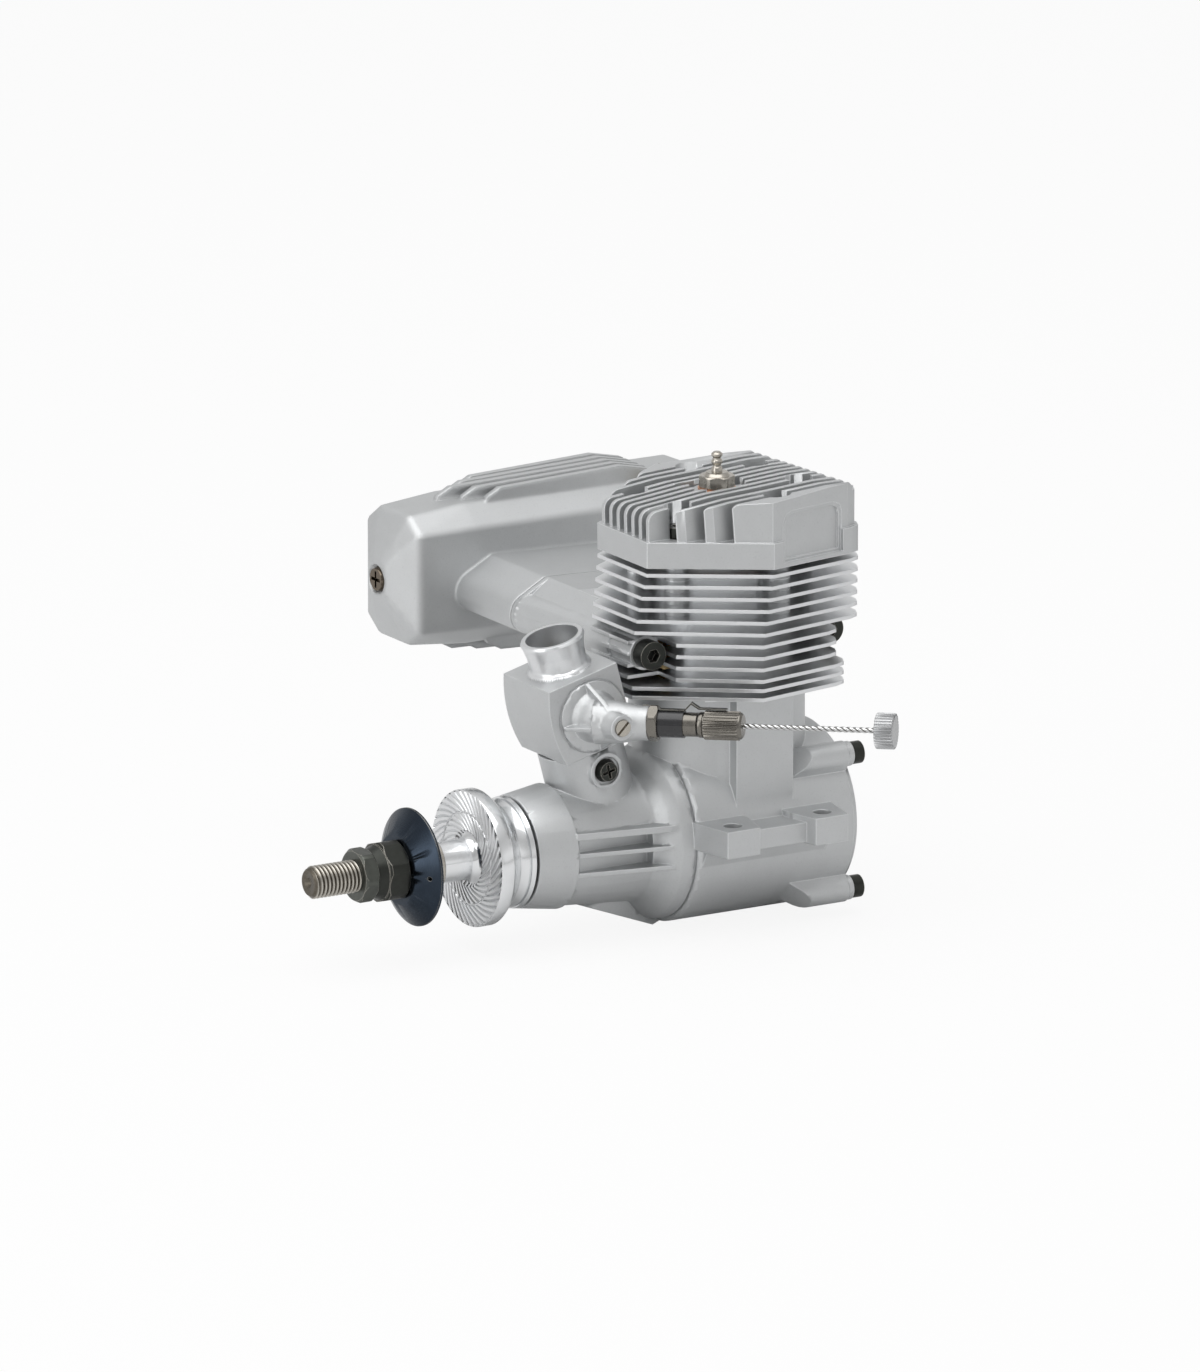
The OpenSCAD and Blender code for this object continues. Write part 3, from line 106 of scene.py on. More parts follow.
def axes(origin, x, z):
    """A placing matrix, in metres, from an origin and the directions of local X and Z."""
    z = Vector(z).normalized()
    x = (Vector(x) - z * Vector(x).dot(z)).normalized()
    turn = Matrix((x, z.cross(x), z)).transposed().to_4x4()
    return Matrix.Translation(Vector(origin)) @ turn


def to_metres(place):
    """The same placing, for a mesh in millimetres."""
    return place @ Matrix.Scale(MM, 4)


UP = Vector((0, 0, 1))
# Local Z points to the propeller and is 0 at the cylinder's axis
SHAFT = axes((0, 0, 0), (1, 0, 0), (0, -1, 0))
# Local Z leaves the air intake, from the throttle rotor's axis
CARB = axes(joints["throttle_turn"]["pos_m"], (1, 0, 0), mounts["air_intake"]["axis"])
# Local Z runs out along the needle, and local X points down
NEEDLE = axes(joints["needle_turn"]["pos_m"], (0, 0, -1), joints["needle_turn"]["axis"])


def local_corners(node, place):
    """A CAD node's corners seen from a placing matrix, in millimetres."""
    back = to_metres(place).inverted()
    return [back @ v.co for v in frame["nodes"][node].data.vertices]


def reach(node, place):
    """Lowest and highest local Z of a CAD node."""
    heights = [corner.z for corner in local_corners(node, place)]
    return min(heights), max(heights)


def girth(node, place):
    """Largest distance of a CAD node from local Z."""
    return max(math.hypot(corner.x, corner.y) for corner in local_corners(node, place))


# Shader nodes

def plug(tree, socket, value):
    """Links a Value to a socket, or sets the socket to a plain value."""
    if isinstance(value, Value):
        tree.links.new(value.socket, socket)
    elif value is not None:
        socket.default_value = value


class Value:
    """A socket in a node tree. Sums on it add Math nodes."""

    def __init__(self, tree, socket):
        self.tree = tree
        self.socket = socket

    def math(self, operation, first, second=None):
        node = self.tree.nodes.new("ShaderNodeMath")
        node.operation = operation
        for socket, value in zip(node.inputs, (first, second)):
            plug(self.tree, socket, value)
        return Value(self.tree, node.outputs[0])

    def __add__(self, other):
        return self.math("ADD", self, other)

    def __radd__(self, other):
        return self.math("ADD", other, self)

    def __sub__(self, other):
        return self.math("SUBTRACT", self, other)

    def __rsub__(self, other):
        return self.math("SUBTRACT", other, self)

    def __mul__(self, other):
        return self.math("MULTIPLY", self, other)

    def __rmul__(self, other):
        return self.math("MULTIPLY", other, self)

    def __pow__(self, other):
        return self.math("POWER", self, other)

    def at_least(self, other):
        return self.math("MAXIMUM", self, other)


class Nodes:
    """A node tree, with one method that adds any node."""

    def __init__(self, tree):
        self.tree = tree

    def node(self, kind, settings=None, sockets=None, out=0):
        node = self.tree.nodes.new(kind)
        for name, value in (settings or {}).items():
            if name == "stops":
                self.set_stops(node.color_ramp, value)
            else:
                setattr(node, name, value)
        for name, value in (sockets or {}).items():
            plug(self.tree, node.inputs[name], value)
        return Value(self.tree, node.outputs[out])

    def set_stops(self, ramp, stops):
        while len(ramp.elements) < len(stops):
            ramp.elements.new(0.5)
        for element, (position, colour) in zip(ramp.elements, stops):
            element.position = position
            element.color = (*colour, 1)

    def blend(self, first, second, factor):
        """A colour between two, by factor."""
        first, second = (c if isinstance(c, Value) else (*c[:3], 1) for c in (first, second))
        return self.node("ShaderNodeMix", {"data_type": "RGBA"}, {0: factor, 6: first, 7: second}, out=2)

    def step(self, value, low, high):
        """0 below low and 1 above high, and smooth between."""
        return self.node(
            "ShaderNodeMapRange",
            {"interpolation_type": "SMOOTHSTEP"},
            {"Value": value, "From Min": low, "From Max": high},
        )


class Finish(Nodes):
    """A material with a principled shader, on Object coordinates."""

    def __init__(self, name):
        self.material = bpy.data.materials.new(name)
        self.material.use_nodes = True
        super().__init__(self.material.node_tree)
        self.shader = self.tree.nodes["Principled BSDF"]
        self.place = self.node("ShaderNodeTexCoord", out="Object")

    def noise(self, cell, detail=2.0, stretch=None):
        """Noise whose cells are cell millimetres wide. stretch scales its axes."""
        place = self.place
        if stretch:
            place = self.node(
                "ShaderNodeMapping", {"vector_type": "POINT"}, {"Vector": place, "Scale": stretch}
            )
        return self.node(
            "ShaderNodeTexNoise", None, {"Vector": place, "Scale": 1 / (cell * MM), "Detail": detail}
        )

    def radius(self, place):
        """Distance from a placing matrix's local Z axis and height along it, in metres."""
        back = place.inverted()
        local = self.node(
            "ShaderNodeMapping",
            {"vector_type": "POINT"},
            {"Vector": self.place, "Location": back.to_translation(), "Rotation": back.to_euler()},
        )
        split = self.tree.nodes.new("ShaderNodeSeparateXYZ")
        plug(self.tree, split.inputs[0], local)
        x, y = (Value(self.tree, split.outputs[k]) for k in (0, 1))
        return (x * x + y * y) ** 0.5, Value(self.tree, split.outputs[2])

    def rings(self, value, per_metre, detail):
        """Lathe marks: noise along one value."""
        return self.node(
            "ShaderNodeTexNoise", {"noise_dimensions": "1D"}, {"W": value * per_metre, "Detail": detail}
        )

    def set(self, colour, roughness, metallic=1.0, coat=None):
        """Plugs what changes over the surface into the shader."""
        plug(self.tree, self.shader.inputs["Base Color"], colour)
        plug(self.tree, self.shader.inputs["Roughness"], roughness)
        plug(self.tree, self.shader.inputs["Metallic"], metallic)
        plug(self.tree, self.shader.inputs["Coat Weight"], coat)

    def rounded(self, radius):
        """The surface's direction with edges rounded to radius millimetres, and a mask of those edges."""
        normal = self.node("ShaderNodeBevel", {"samples": 4}, {"Radius": radius * MM})
        flat = self.node("ShaderNodeNewGeometry", out="Normal")
        along = self.node(
            "ShaderNodeVectorMath", {"operation": "DOT_PRODUCT"}, {0: normal, 1: flat}, out="Value"
        )
        return normal, self.step(1 - along, 0.004, 0.07)

    def relief(self, height, depth, normal=None):
        """Bump of depth millimetres over a direction."""
        bump = self.node(
            "ShaderNodeBump",
            None,
            {"Height": height, "Distance": depth * MM, "Strength": 1.0, "Normal": normal},
        )
        plug(self.tree, self.shader.inputs["Normal"], bump)


def solid(colour):
    """A colour with full alpha, for a colour socket."""
    return (*colour[:3], 1)


def shade(colour, factor):
    """A colour made darker or lighter."""
    return tuple(min(1.0, c * factor) for c in colour[:3])


def cast_alloy(look, name="cast_alloy", edge=0.45, wear_and_highlight=0.6):
    """Bead-blasted die casting: satin, with fine pits, and edges lightened partly by wear and partly as a
    painted highlight.
    """
    f = Finish(name)
    grit = f.noise(0.4, 2)
    cloud = f.noise(5, 3)
    normal, edges = f.rounded(edge)
    colour = f.blend(shade(look.cast_colour, 0.96), shade(look.cast_colour, 1.03), cloud)
    colour = f.blend(colour, shade(look.cast_colour, 0.86), f.step(grit, 0.58, 0.78) * 0.5)
    # Edges lightened towards the cut colour: partly worn edges, partly a painted highlight.
    f.set(f.blend(colour, solid(look.bright_colour), edges * wear_and_highlight), 0.48 + grit * 0.12 - edges * 0.1)
    f.relief(grit, 0.018, normal)
    return f.material


def machined_alloy(look):
    """Satin cut alloy, with faint cutter marks and a painted highlight on its edges."""
    f = Finish("machined_alloy")
    marks = f.noise(0.5, 2, (1, 1, 5))
    normal, edges = f.rounded(0.2)
    colour = f.blend(shade(look.bright_colour, 0.84), shade(look.bright_colour, 0.96), marks)
    # Edges lightened to the full cut colour: a painted highlight.
    f.set(f.blend(colour, solid(look.bright_colour), edges), 0.3 + marks * 0.12)
    f.relief(marks, 0.008, normal)
    return f.material


def turned_alloy(look):
    """Turned alloy: rings around the shaft, nearly a mirror."""
    f = Finish("turned_alloy")
    radius, along = f.radius(SHAFT)
    rings = f.rings(radius + along, 5200, 2.0)
    cloud = f.noise(6, 2)
    f.set(f.blend(shade(look.bright_colour, 0.9), solid(look.bright_colour), cloud), 0.1 + rings * 0.08)
    f.relief(rings, 0.004, f.rounded(0.12)[0])
    return f.material


def steel(look):
    """Bare ground steel, a little warm, with a painted highlight on its edges."""
    f = Finish("bare_steel")
    marks = f.noise(0.7, 3)
    normal, edges = f.rounded(0.08)
    colour = f.blend(shade(look.steel_colour, 0.75), shade(look.steel_colour, 1.15), marks)
    # Edges lightened: a painted highlight.
    f.set(f.blend(colour, shade(look.steel_colour, 1.6), edges), 0.26 + marks * 0.16)
    f.relief(marks, 0.01, normal)
    return f.material


def thread_steel(look):
    """Steel thread: crests lightened as a painted highlight, and valleys darkened brown as painted shade."""
    f = Finish("thread_steel")
    across = f.radius(SHAFT)[0]
    crest = mounts["shaft_end"]["dims"]["r_mm"]
    marks = f.noise(0.6, 3)
    height = f.step(across, (crest - 0.5) * MM, (crest - 0.05) * MM)
    # Valleys darker and crests lighter by distance from the shaft: painted shade and painted highlight.
    colour = f.blend(shade(look.valley_shade_colour, 1), shade(look.steel_colour, 1.35), height)
    f.set(f.blend(colour, shade(look.steel_colour, 0.8), marks * 0.4), 0.42 - height * 0.12)
    f.relief(marks, 0.008)
    return f.material


def wire_steel(look):
    """Twisted wire, lightened on its strands' crests as a painted highlight and darkened between them as
    painted shade.
    """
    f = Finish("wire_steel")
    height = f.step(f.radius(NEEDLE)[0], 0.42 * MM, 0.62 * MM)
    marks = f.noise(0.8, 2)
    # Darker towards the wire's middle and lighter on the crests: painted shade and painted highlight.
    colour = f.blend(shade(look.valley_shade_colour, 0.7), shade(look.bright_colour, 0.78), height)
    f.set(f.blend(colour, shade(look.steel_colour, 1.2), marks * 0.3), 0.3 - height * 0.1)
    f.relief(marks, 0.006)
    return f.material


def black_steel(look, name="black_oxide", lift=1.0):
    """Black oxide on steel, semi-gloss, with a painted highlight on its edges."""
    f = Finish(name)
    cloud = f.noise(1.6, 3)
    grit = f.noise(0.25, 2)
    normal, edges = f.rounded(0.24)
    colour = f.blend(shade(look.black_colour, 0.8 * lift), shade(look.black_colour, 1.25 * lift), cloud)
    # Edges lightened towards steel: a painted highlight.
    f.set(f.blend(colour, shade(look.steel_colour, 1.3), edges * 0.7), 0.26 + grit * 0.14, 0.8)
    f.relief(grit, 0.01, normal)
    return f.material


def blued_steel(look):
    """Blued spring steel, turned, with streaks around the shaft and a painted highlight on its edges."""
    f = Finish("blued_steel")
    rings = f.rings(f.radius(SHAFT)[0], 2600, 3.0)
    cloud = f.noise(3, 3)
    normal, edges = f.rounded(0.25)
    colour = f.blend(shade(look.blue_colour, 0.8), shade(look.blue_colour, 1.3), cloud)
    # Edges lightened towards steel: a painted highlight.
    f.set(f.blend(colour, shade(look.steel_colour, 0.8), edges * 0.7), 0.24 + rings * 0.08)
    f.relief(rings, 0.004, normal)
    return f.material


def nickel(look, name="nickel_plate", lift=1.0):
    """Nickel plate, slightly yellow."""
    f = Finish(name)
    cloud = f.noise(1.2, 2)
    colour = shade(look.nickel_colour, lift)
    f.set(f.blend(shade(colour, 0.82), shade(colour, 1.08), cloud), 0.2 + cloud * 0.12)
    f.relief(cloud, 0.006, f.rounded(0.1)[0])
    return f.material


def milled_fins(look):
    """Cut alloy between the cylinder's fins, made lighter to paint the light that bounces from fin to fin."""
    f = Finish("milled_fins")
    marks = f.noise(0.6, 2, (1, 1, 4))
    # Lighter than the castings: painted bounce light between the fins, on real cut alloy.
    f.set(f.blend(shade(look.bright_colour, 0.9), solid(look.bright_colour), marks), 0.26 + marks * 0.14)
    f.relief(marks, 0.01)
    return f.material


def plain_metal(name, colour, roughness):
    """Plain metal with faint clouds."""
    f = Finish(name)
    cloud = f.noise(1.5, 3)
    f.set(f.blend(shade(colour, 0.8), shade(colour, 1.1), cloud), roughness + cloud * 0.1)
    f.relief(cloud, 0.01, f.rounded(0.1)[0])
    return f.material


def soft_black(name, colour, roughness, coat):
    """Rubber or plastic."""
    f = Finish(name)
    cloud = f.noise(0.8, 2)
    f.set(f.blend(shade(colour, 0.8), shade(colour, 1.3), cloud), roughness + cloud * 0.08, 0.0, coat)
    f.relief(cloud, 0.01, f.rounded(0.15)[0])
    return f.material


def gasket_paper(look):
    """Pressed fibre sheet."""
    f = Finish("gasket_paper")
    fibre = f.noise(0.4, 4, (1, 3, 1))
    f.set(f.blend(shade(look.gasket_colour, 0.8), shade(look.gasket_colour, 1.2), fibre), 0.8, 0.0)
    f.relief(fibre, 0.02)
    return f.material


FINISHES = {}


def make_finishes(look):
    """Fills FINISHES. A finish that is named as a slot of the record also goes on its CAD nodes."""
    FINISHES.update(
        cast_alloy=cast_alloy(look),
        shell_alloy=cast_alloy(look, "shell_alloy", 1.3, 0.0),
        # The head's edges get the full lightening: worn edges and a painted highlight.
        soft_edge_alloy=cast_alloy(look, "head_alloy", 0.35, 1.0),
        machined_alloy=machined_alloy(look),
        milled_fins=milled_fins(look),
        turned_alloy=turned_alloy(look),
        steel=steel(look),
        thread_steel=thread_steel(look),
        wire_steel=wire_steel(look),
        black_steel=black_steel(look),
        grey_steel=black_steel(look, "oiled_nut", 2.6),
        blued_steel=blued_steel(look),
        nickel=nickel(look),
        dark_nickel=nickel(look, "dark_nickel", 0.42),
        dark_chrome=plain_metal("dark_chrome", look.chrome_colour, 0.1),
        grip_alloy=plain_metal("grip_alloy", shade(look.bright_colour, 0.6), 0.3),
        brass=plain_metal("brass", look.brass_colour, 0.25),
        bronze=plain_metal("bronze", look.bronze_colour, 0.3),
        copper=plain_metal("copper", look.copper_colour, 0.3),
        rubber=soft_black("black_rubber", (0.03, 0.03, 0.032), 0.6, 0.0),
        black_plastic=soft_black("black_sleeve", (0.012, 0.012, 0.014), 0.22, 0.4),
        gasket_paper=gasket_paper(look),
    )


# Pieces

def to_object(bm, name, node, finishes, sharp=30):
    """Ends a piece: a mesh with smooth faces, sharp edges and the given finishes, on the body of a CAD node.
    """
    mesh = bpy.data.meshes.new(name)
    bm.to_mesh(mesh)
    bm.free()
    for finish in finishes:
        mesh.materials.append(FINISHES[finish])
    mesh.shade_smooth()
    mesh.set_sharp_from_angle(angle=math.radians(sharp))
    piece = bpy.data.objects.new(name, mesh)
    bpy.context.scene.collection.objects.link(piece)
    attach(piece, frame["nodes"][node]["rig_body"])
    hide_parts(node)
    return piece


def copy_of(node):
    """A CAD node's mesh with its corners merged and its flat faces whole."""
    bm = bmesh.new()
    bm.from_mesh(frame["nodes"][node].data)
    bmesh.ops.remove_doubles(bm, verts=bm.verts, dist=0.002 * MM)
    bmesh.ops.dissolve_limit(
        bm, angle_limit=math.radians(0.6), use_dissolve_boundaries=False, verts=bm.verts, edges=bm.edges,
        delimit={"NORMAL"},
    )
    return bm


def slice_up(bm, node, gap):
    """Cuts a mesh by planes gap millimetres apart on each axis, so that its shading stays even."""
    low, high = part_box(node)
    for axis in range(3):
        normal = Vector((0, 0, 0))
        normal[axis] = 1
        for k in range(1, math.ceil((high[axis] - low[axis]) / MM / gap)):
            bmesh.ops.bisect_plane(
                bm, geom=bm.verts[:] + bm.edges[:] + bm.faces[:], dist=0.001 * MM,
                plane_co=low + normal * k * gap * MM, plane_no=normal,
            )


def dress(node, finishes, choose=None, sharp=30, slices=None, turn=None):
    """A smooth copy of a CAD node. choose gives a face's place in finishes, turn is about the shaft."""
    bm = copy_of(node)
    if slices:
        slice_up(bm, node, slices)
    if turn:
        bm.transform(SHAFT @ Matrix.Rotation(math.radians(turn), 4, "Z") @ SHAFT.inverted())
    if choose:
        for face in bm.faces:
            face.material_index = choose(face)
    piece = to_object(bm, node + "_skin", node, finishes, sharp)
    weigh = piece.modifiers.new("even shading", "WEIGHTED_NORMAL")
    weigh.keep_sharp = True
    return piece


def turned(profile, steps):
    """A closed body turned about local Z from [radius, height] points, in millimetres."""
    bm = bmesh.new()
    corners = [bm.verts.new((r, 0, h)) for r, h in profile]
    edges = [bm.edges.new(pair) for pair in zip(corners, corners[1:])]
    bmesh.ops.spin(
        bm, geom=corners + edges, cent=(0, 0, 0), axis=(0, 0, 1),
        angle=math.tau, steps=steps, use_merge=True,
    )
    bmesh.ops.remove_doubles(bm, verts=bm.verts, dist=0.001)
    bmesh.ops.recalc_face_normals(bm, faces=bm.faces)
    return bm


def join(target, other):
    """Adds one bmesh to another and frees it."""
    mesh = bpy.data.meshes.new("part")
    other.to_mesh(mesh)
    other.free()
    target.from_mesh(mesh)
    bpy.data.meshes.remove(mesh)
    return target


def trim(bm, place, height, above=True):
    """Cuts off what lies above (or below) a local height in millimetres, and closes the cut."""
    matrix = to_metres(place)
    cut = bmesh.ops.bisect_plane(
        bm,
        geom=bm.verts[:] + bm.edges[:] + bm.faces[:],
        plane_co=matrix @ Vector((0, 0, height)),
        plane_no=(matrix.to_3x3() @ UP).normalized() * (1 if above else -1),
        clear_outer=True,
    )
    edges = [e for e in cut["geom_cut"] if isinstance(e, bmesh.types.BMEdge)]
    bmesh.ops.holes_fill(bm, edges=edges, sides=0)


def thread(radius, depth, pitch, bottom, top, chamfer, steps=36):
    """A screw thread about local Z from bottom to top, in millimetres, with its tip chamfered."""
    bm = bmesh.new()
    root = radius - depth
    profile = [(radius, 0.0), (radius, 0.07), (root, 0.4), (root, 0.6), (radius, 0.93), (radius, 1.0)]
    start = bottom - pitch
    turns = math.ceil((top - start) / pitch) + 1
    corners = [bm.verts.new((r, 0, start + h * pitch)) for r, h in profile]
    edges = [bm.edges.new(pair) for pair in zip(corners, corners[1:])]
    bmesh.ops.spin(
        bm, geom=corners + edges, cent=(0, 0, 0), axis=(0, 0, 1), dvec=(0, 0, pitch / steps),
        angle=math.tau * turns, steps=steps * turns,
    )
    bmesh.ops.remove_doubles(bm, verts=bm.verts, dist=0.002)
    one = Matrix.Scale(1 / MM, 4)
    trim(bm, one, top)
    trim(bm, one, bottom, above=False)
    bmesh.ops.recalc_face_normals(bm, faces=bm.faces)
    for v in bm.verts:
        limit = radius - max(0.0, chamfer - (top - v.co.z))
        across = math.hypot(v.co.x, v.co.y)
        if across > limit:
            v.co.x *= limit / across
            v.co.y *= limit / across
    return bm


def centre_drill(bm, land):
    """A small cone drilled into the top face of a screw, whose land is a radius in millimetres."""
    mouth, depth, tip = 1.3, 1.6, 0.3
    top = max(bm.faces, key=lambda face: min(v.co.z for v in face.verts))
    for share, drop in ((mouth / land, 0), (tip, depth)):
        grown = bmesh.ops.extrude_face_region(bm, geom=[top])["geom"]
        bmesh.ops.delete(bm, geom=[top], context="FACES_ONLY")
        top = next(item for item in grown if isinstance(item, bmesh.types.BMFace))
        corners = [item for item in grown if isinstance(item, bmesh.types.BMVert)]
        bmesh.ops.scale(bm, vec=(share, share, 1), verts=corners)
        bmesh.ops.translate(bm, vec=(0, 0, -drop), verts=corners)
    bmesh.ops.recalc_face_normals(bm, faces=bm.faces)


def fluted(radius, depth, count, bottom, top, bevel):
    """A grip with straight flutes about local Z, in millimetres."""
    bm = bmesh.new()
    corners_each, corners_in_flute = 4, 2
    circle = bmesh.ops.create_circle(bm, cap_ends=True, radius=radius, segments=count * corners_each)
    for k, v in enumerate(circle["verts"]):
        if k % corners_each < corners_in_flute:
            v.co *= (radius - depth) / radius
    bmesh.ops.translate(bm, verts=bm.verts, vec=(0, 0, bottom))
    lid = bmesh.ops.extrude_face_region(bm, geom=bm.faces[:])
    tops = [v for v in lid["geom"] if isinstance(v, bmesh.types.BMVert)]
    bmesh.ops.translate(bm, verts=tops, vec=(0, 0, top - bottom))
    caps = [f for f in bm.faces if len(f.verts) > 4]
    edges = {e for f in caps for e in f.edges}
    bmesh.ops.bevel(
        bm, geom=list(edges), affect="EDGES", offset=bevel, segments=2, profile=0.5, material=-1
    )
    bmesh.ops.recalc_face_normals(bm, faces=bm.faces)
    return bm


def strand(radius, offset, lay, bottom, top, turn):
    """One strand of a twisted wire about local Z, in millimetres."""
    bm = bmesh.new()
    circle = bmesh.ops.create_circle(bm, cap_ends=False, radius=radius, segments=8)
    tilt = math.atan2(math.tau * offset, lay)
    bmesh.ops.rotate(bm, verts=circle["verts"], cent=(0, 0, 0), matrix=Matrix.Rotation(-tilt, 3, "X"))
    bmesh.ops.translate(bm, verts=circle["verts"], vec=(offset, 0, bottom))
    bmesh.ops.rotate(bm, verts=circle["verts"], cent=(0, 0, 0), matrix=Matrix.Rotation(turn, 3, "Z"))
    turns = (top - bottom) / lay
    steps = round(turns * 18)
    bmesh.ops.spin(
        bm, geom=bm.verts[:] + bm.edges[:], cent=(0, 0, 0), axis=(0, 0, 1),
        dvec=(0, 0, (top - bottom) / steps), angle=math.tau * turns, steps=steps,
    )
    bmesh.ops.remove_doubles(bm, verts=bm.verts, dist=0.0005)
    bmesh.ops.holes_fill(bm, edges=bm.edges, sides=0)
    bmesh.ops.recalc_face_normals(bm, faces=bm.faces)
    return bm


# Settings

def colour_property(name, words, default):
    """A colour that a user can change."""
    return FloatVectorProperty(name=name, description=words, default=default, subtype="COLOR", min=0, max=1)


def number_property(kind, name, words, default, low, high):
    """A size or a count that a user can change, between two limits."""
    return kind(name=name, description=words, default=default, min=low, max=high)


class FinishSettings(bpy.types.PropertyGroup):
    """Colours of the engine's finishes."""

    cast_colour: colour_property("Cast alloy", "Bead-blasted castings", (0.60, 0.61, 0.615))
    bright_colour: colour_property("Cut alloy", "Turned and milled alloy", (0.86, 0.87, 0.88))
    steel_colour: colour_property("Bare steel", "Shaft and wire", (0.42, 0.40, 0.36))
    black_colour: colour_property("Black oxide", "Nuts and screws", (0.035, 0.037, 0.033))
    blue_colour: colour_property("Blued steel", "Propeller washer", (0.03, 0.04, 0.055))
    # Painted shade for the valleys of the thread and of the wire.
    valley_shade_colour: colour_property("Oil", "In the thread's valleys", (0.09, 0.075, 0.055))
    nickel_colour: colour_property("Nickel", "Needle parts and glow plug", (0.50, 0.47, 0.42))
    chrome_colour: colour_property("Dark chrome", "Muffler's through screw", (0.16, 0.13, 0.10))
    brass_colour: colour_property("Brass", "Rotor, collet and jets", (0.70, 0.52, 0.25))
    bronze_colour: colour_property("Bronze", "Big end bush", (0.55, 0.36, 0.2))
    copper_colour: colour_property("Copper", "Plug washer and head shim", (0.72, 0.4, 0.26))
    gasket_colour: colour_property("Gasket", "Gasket paper", (0.2, 0.21, 0.2))


class ShaftSettings(bpy.types.PropertyGroup):
    """Sizes of the shaft's thread and of the drive hub, in millimetres."""

    pitch: number_property(FloatProperty, "Thread pitch", "24 threads to the inch", 1.0583, 0.5, 2)
    thread_depth: number_property(FloatProperty, "Thread depth", "Crest to root", 0.62, 0.1, 0.8)
    tip_chamfer: number_property(FloatProperty, "Tip chamfer", "On the thread's first turn", 0.9, 0, 2)
    rim_teeth: number_property(IntProperty, "Rim teeth", "Serrations on the hub's rim", 40, 12, 90)
    inner_teeth: number_property(IntProperty, "Inner teeth", "Serrations around the sleeve", 30, 12, 80)
    tooth_depth: number_property(FloatProperty, "Tooth depth", "Depth of a serration", 0.55, 0.1, 1)
    rim_slant: number_property(FloatProperty, "Rim slant", "Lean of the teeth, in degrees", 50, 0, 60)


class NeedleSettings(bpy.types.PropertyGroup):
    """Sizes of the needle's thimble, wire and knob, in millimetres."""

    thimble_flutes: number_property(IntProperty, "Thimble flutes", "Where the spring clicks in", 24, 8, 60)
    knob_flutes: number_property(IntProperty, "Knob flutes", "Ridges around the knob", 32, 8, 60)
    strands: number_property(IntProperty, "Strands", "Strands in the twisted wire", 3, 2, 7)
    lay: number_property(FloatProperty, "Lay", "Length of one full twist", 4.6, 2, 20)


class StageSettings(bpy.types.PropertyGroup):
    """Camera and light."""

    azimuth: FloatProperty(name="Azimuth", description="Camera's turn from the front", default=59.05)
    elevation: FloatProperty(name="Elevation", description="Camera's height above level", default=14.62)
    distance: FloatProperty(
        name="Distance", description="Camera to the aim point", default=4.817, unit="LENGTH"
    )
    focal_pixels: FloatProperty(name="Focal length", description="In pixels of the picture", default=20080)
    aim: FloatVectorProperty(
        name="Aim", description="Point at the picture's centre", default=(-0.0216, -0.0196, 0.0309),
        unit="LENGTH",
    )
    key_power: FloatProperty(name="Key lamp", description="Large lamp above", default=7.5, unit="POWER")
    side_power: FloatProperty(
        name="Side lamp", description="Tall lamp ahead of the propeller", default=3.8, unit="POWER"
    )


# Stage

LAMP_AIM = Vector((0, 0, 0.03))
# The floor's half width in metres, and its gap below the engine in millimetres
FLOOR_HALF = 6
FLOOR_DROP = 0.2
# How much of the white backdrop shows in reflections, and on the floor
GLOSSY_WHITE = 0.25
FLOOR_WHITE = 0.9
# The dimmer side behind the camera: cosines where it starts and is full, and how dim it is
DIM_START = 0.55
DIM_FULL = 0.97
DIM_SHARE = 0.45
# Tone of the studio at shares of the way up from straight below, with a dark line at the horizon
STUDIO_TONES = (
    (0.0, 0.16), (0.38, 0.28), (0.47, 0.34), (0.488, 0.08), (0.5, 0.12), (0.515, 0.72),
    (0.6, 0.8), (0.68, 0.5), (0.78, 0.38), (0.9, 0.66), (1.0, 0.8),
)


def backdrop(world, facing):
    """White for the camera, and a soft studio for light and reflections, dimmest towards facing."""
    world.use_nodes = True
    n = Nodes(world.node_tree)
    world.node_tree.nodes.clear()
    direction = n.node("ShaderNodeTexCoord", out="Generated")
    split = n.tree.nodes.new("ShaderNodeSeparateXYZ")
    plug(n.tree, split.inputs[0], direction)
    height = Value(n.tree, split.outputs[2])
    studio = n.node(
        "ShaderNodeValToRGB",
        {"stops": [(share, (tone,) * 3) for share, tone in STUDIO_TONES]},
        {0: height * 0.5 + 0.5},
    )
    ahead = n.node(
        "ShaderNodeVectorMath", {"operation": "DOT_PRODUCT"}, {0: direction, 1: tuple(facing)}, out="Value"
    )
    studio = n.blend(studio, (0.0, 0.0, 0.0), n.step(ahead, DIM_START, DIM_FULL) * DIM_SHARE)
    path = n.tree.nodes.new("ShaderNodeLightPath")
    camera, glossy, through = (
        Value(n.tree, path.outputs[f"Is {kind} Ray"]) for kind in ("Camera", "Glossy", "Transmission")
    )
    share = camera.at_least(through).at_least(glossy * GLOSSY_WHITE)
    colour = n.blend(studio, (1, 1, 1), share)
    light = n.node("ShaderNodeBackground", None, {"Color": colour, "Strength": 1.0})
    output = n.tree.nodes.new("ShaderNodeOutputWorld")
    plug(n.tree, output.inputs["Surface"], light)


def softbox(name, place, size, power):
    """A rectangular area lamp that faces the engine, size metres wide and high."""
    lamp = bpy.data.lights.new(name, "AREA")
    lamp.shape = "RECTANGLE"
    lamp.size, lamp.size_y = size
    lamp.energy = power
    holder = bpy.data.objects.new(name, lamp)
    bpy.context.scene.collection.objects.link(holder)
    holder.location = place
    holder.rotation_euler = (Vector(place) - LAMP_AIM).to_track_quat("Z", "Y").to_euler()
    holder.visible_camera = False


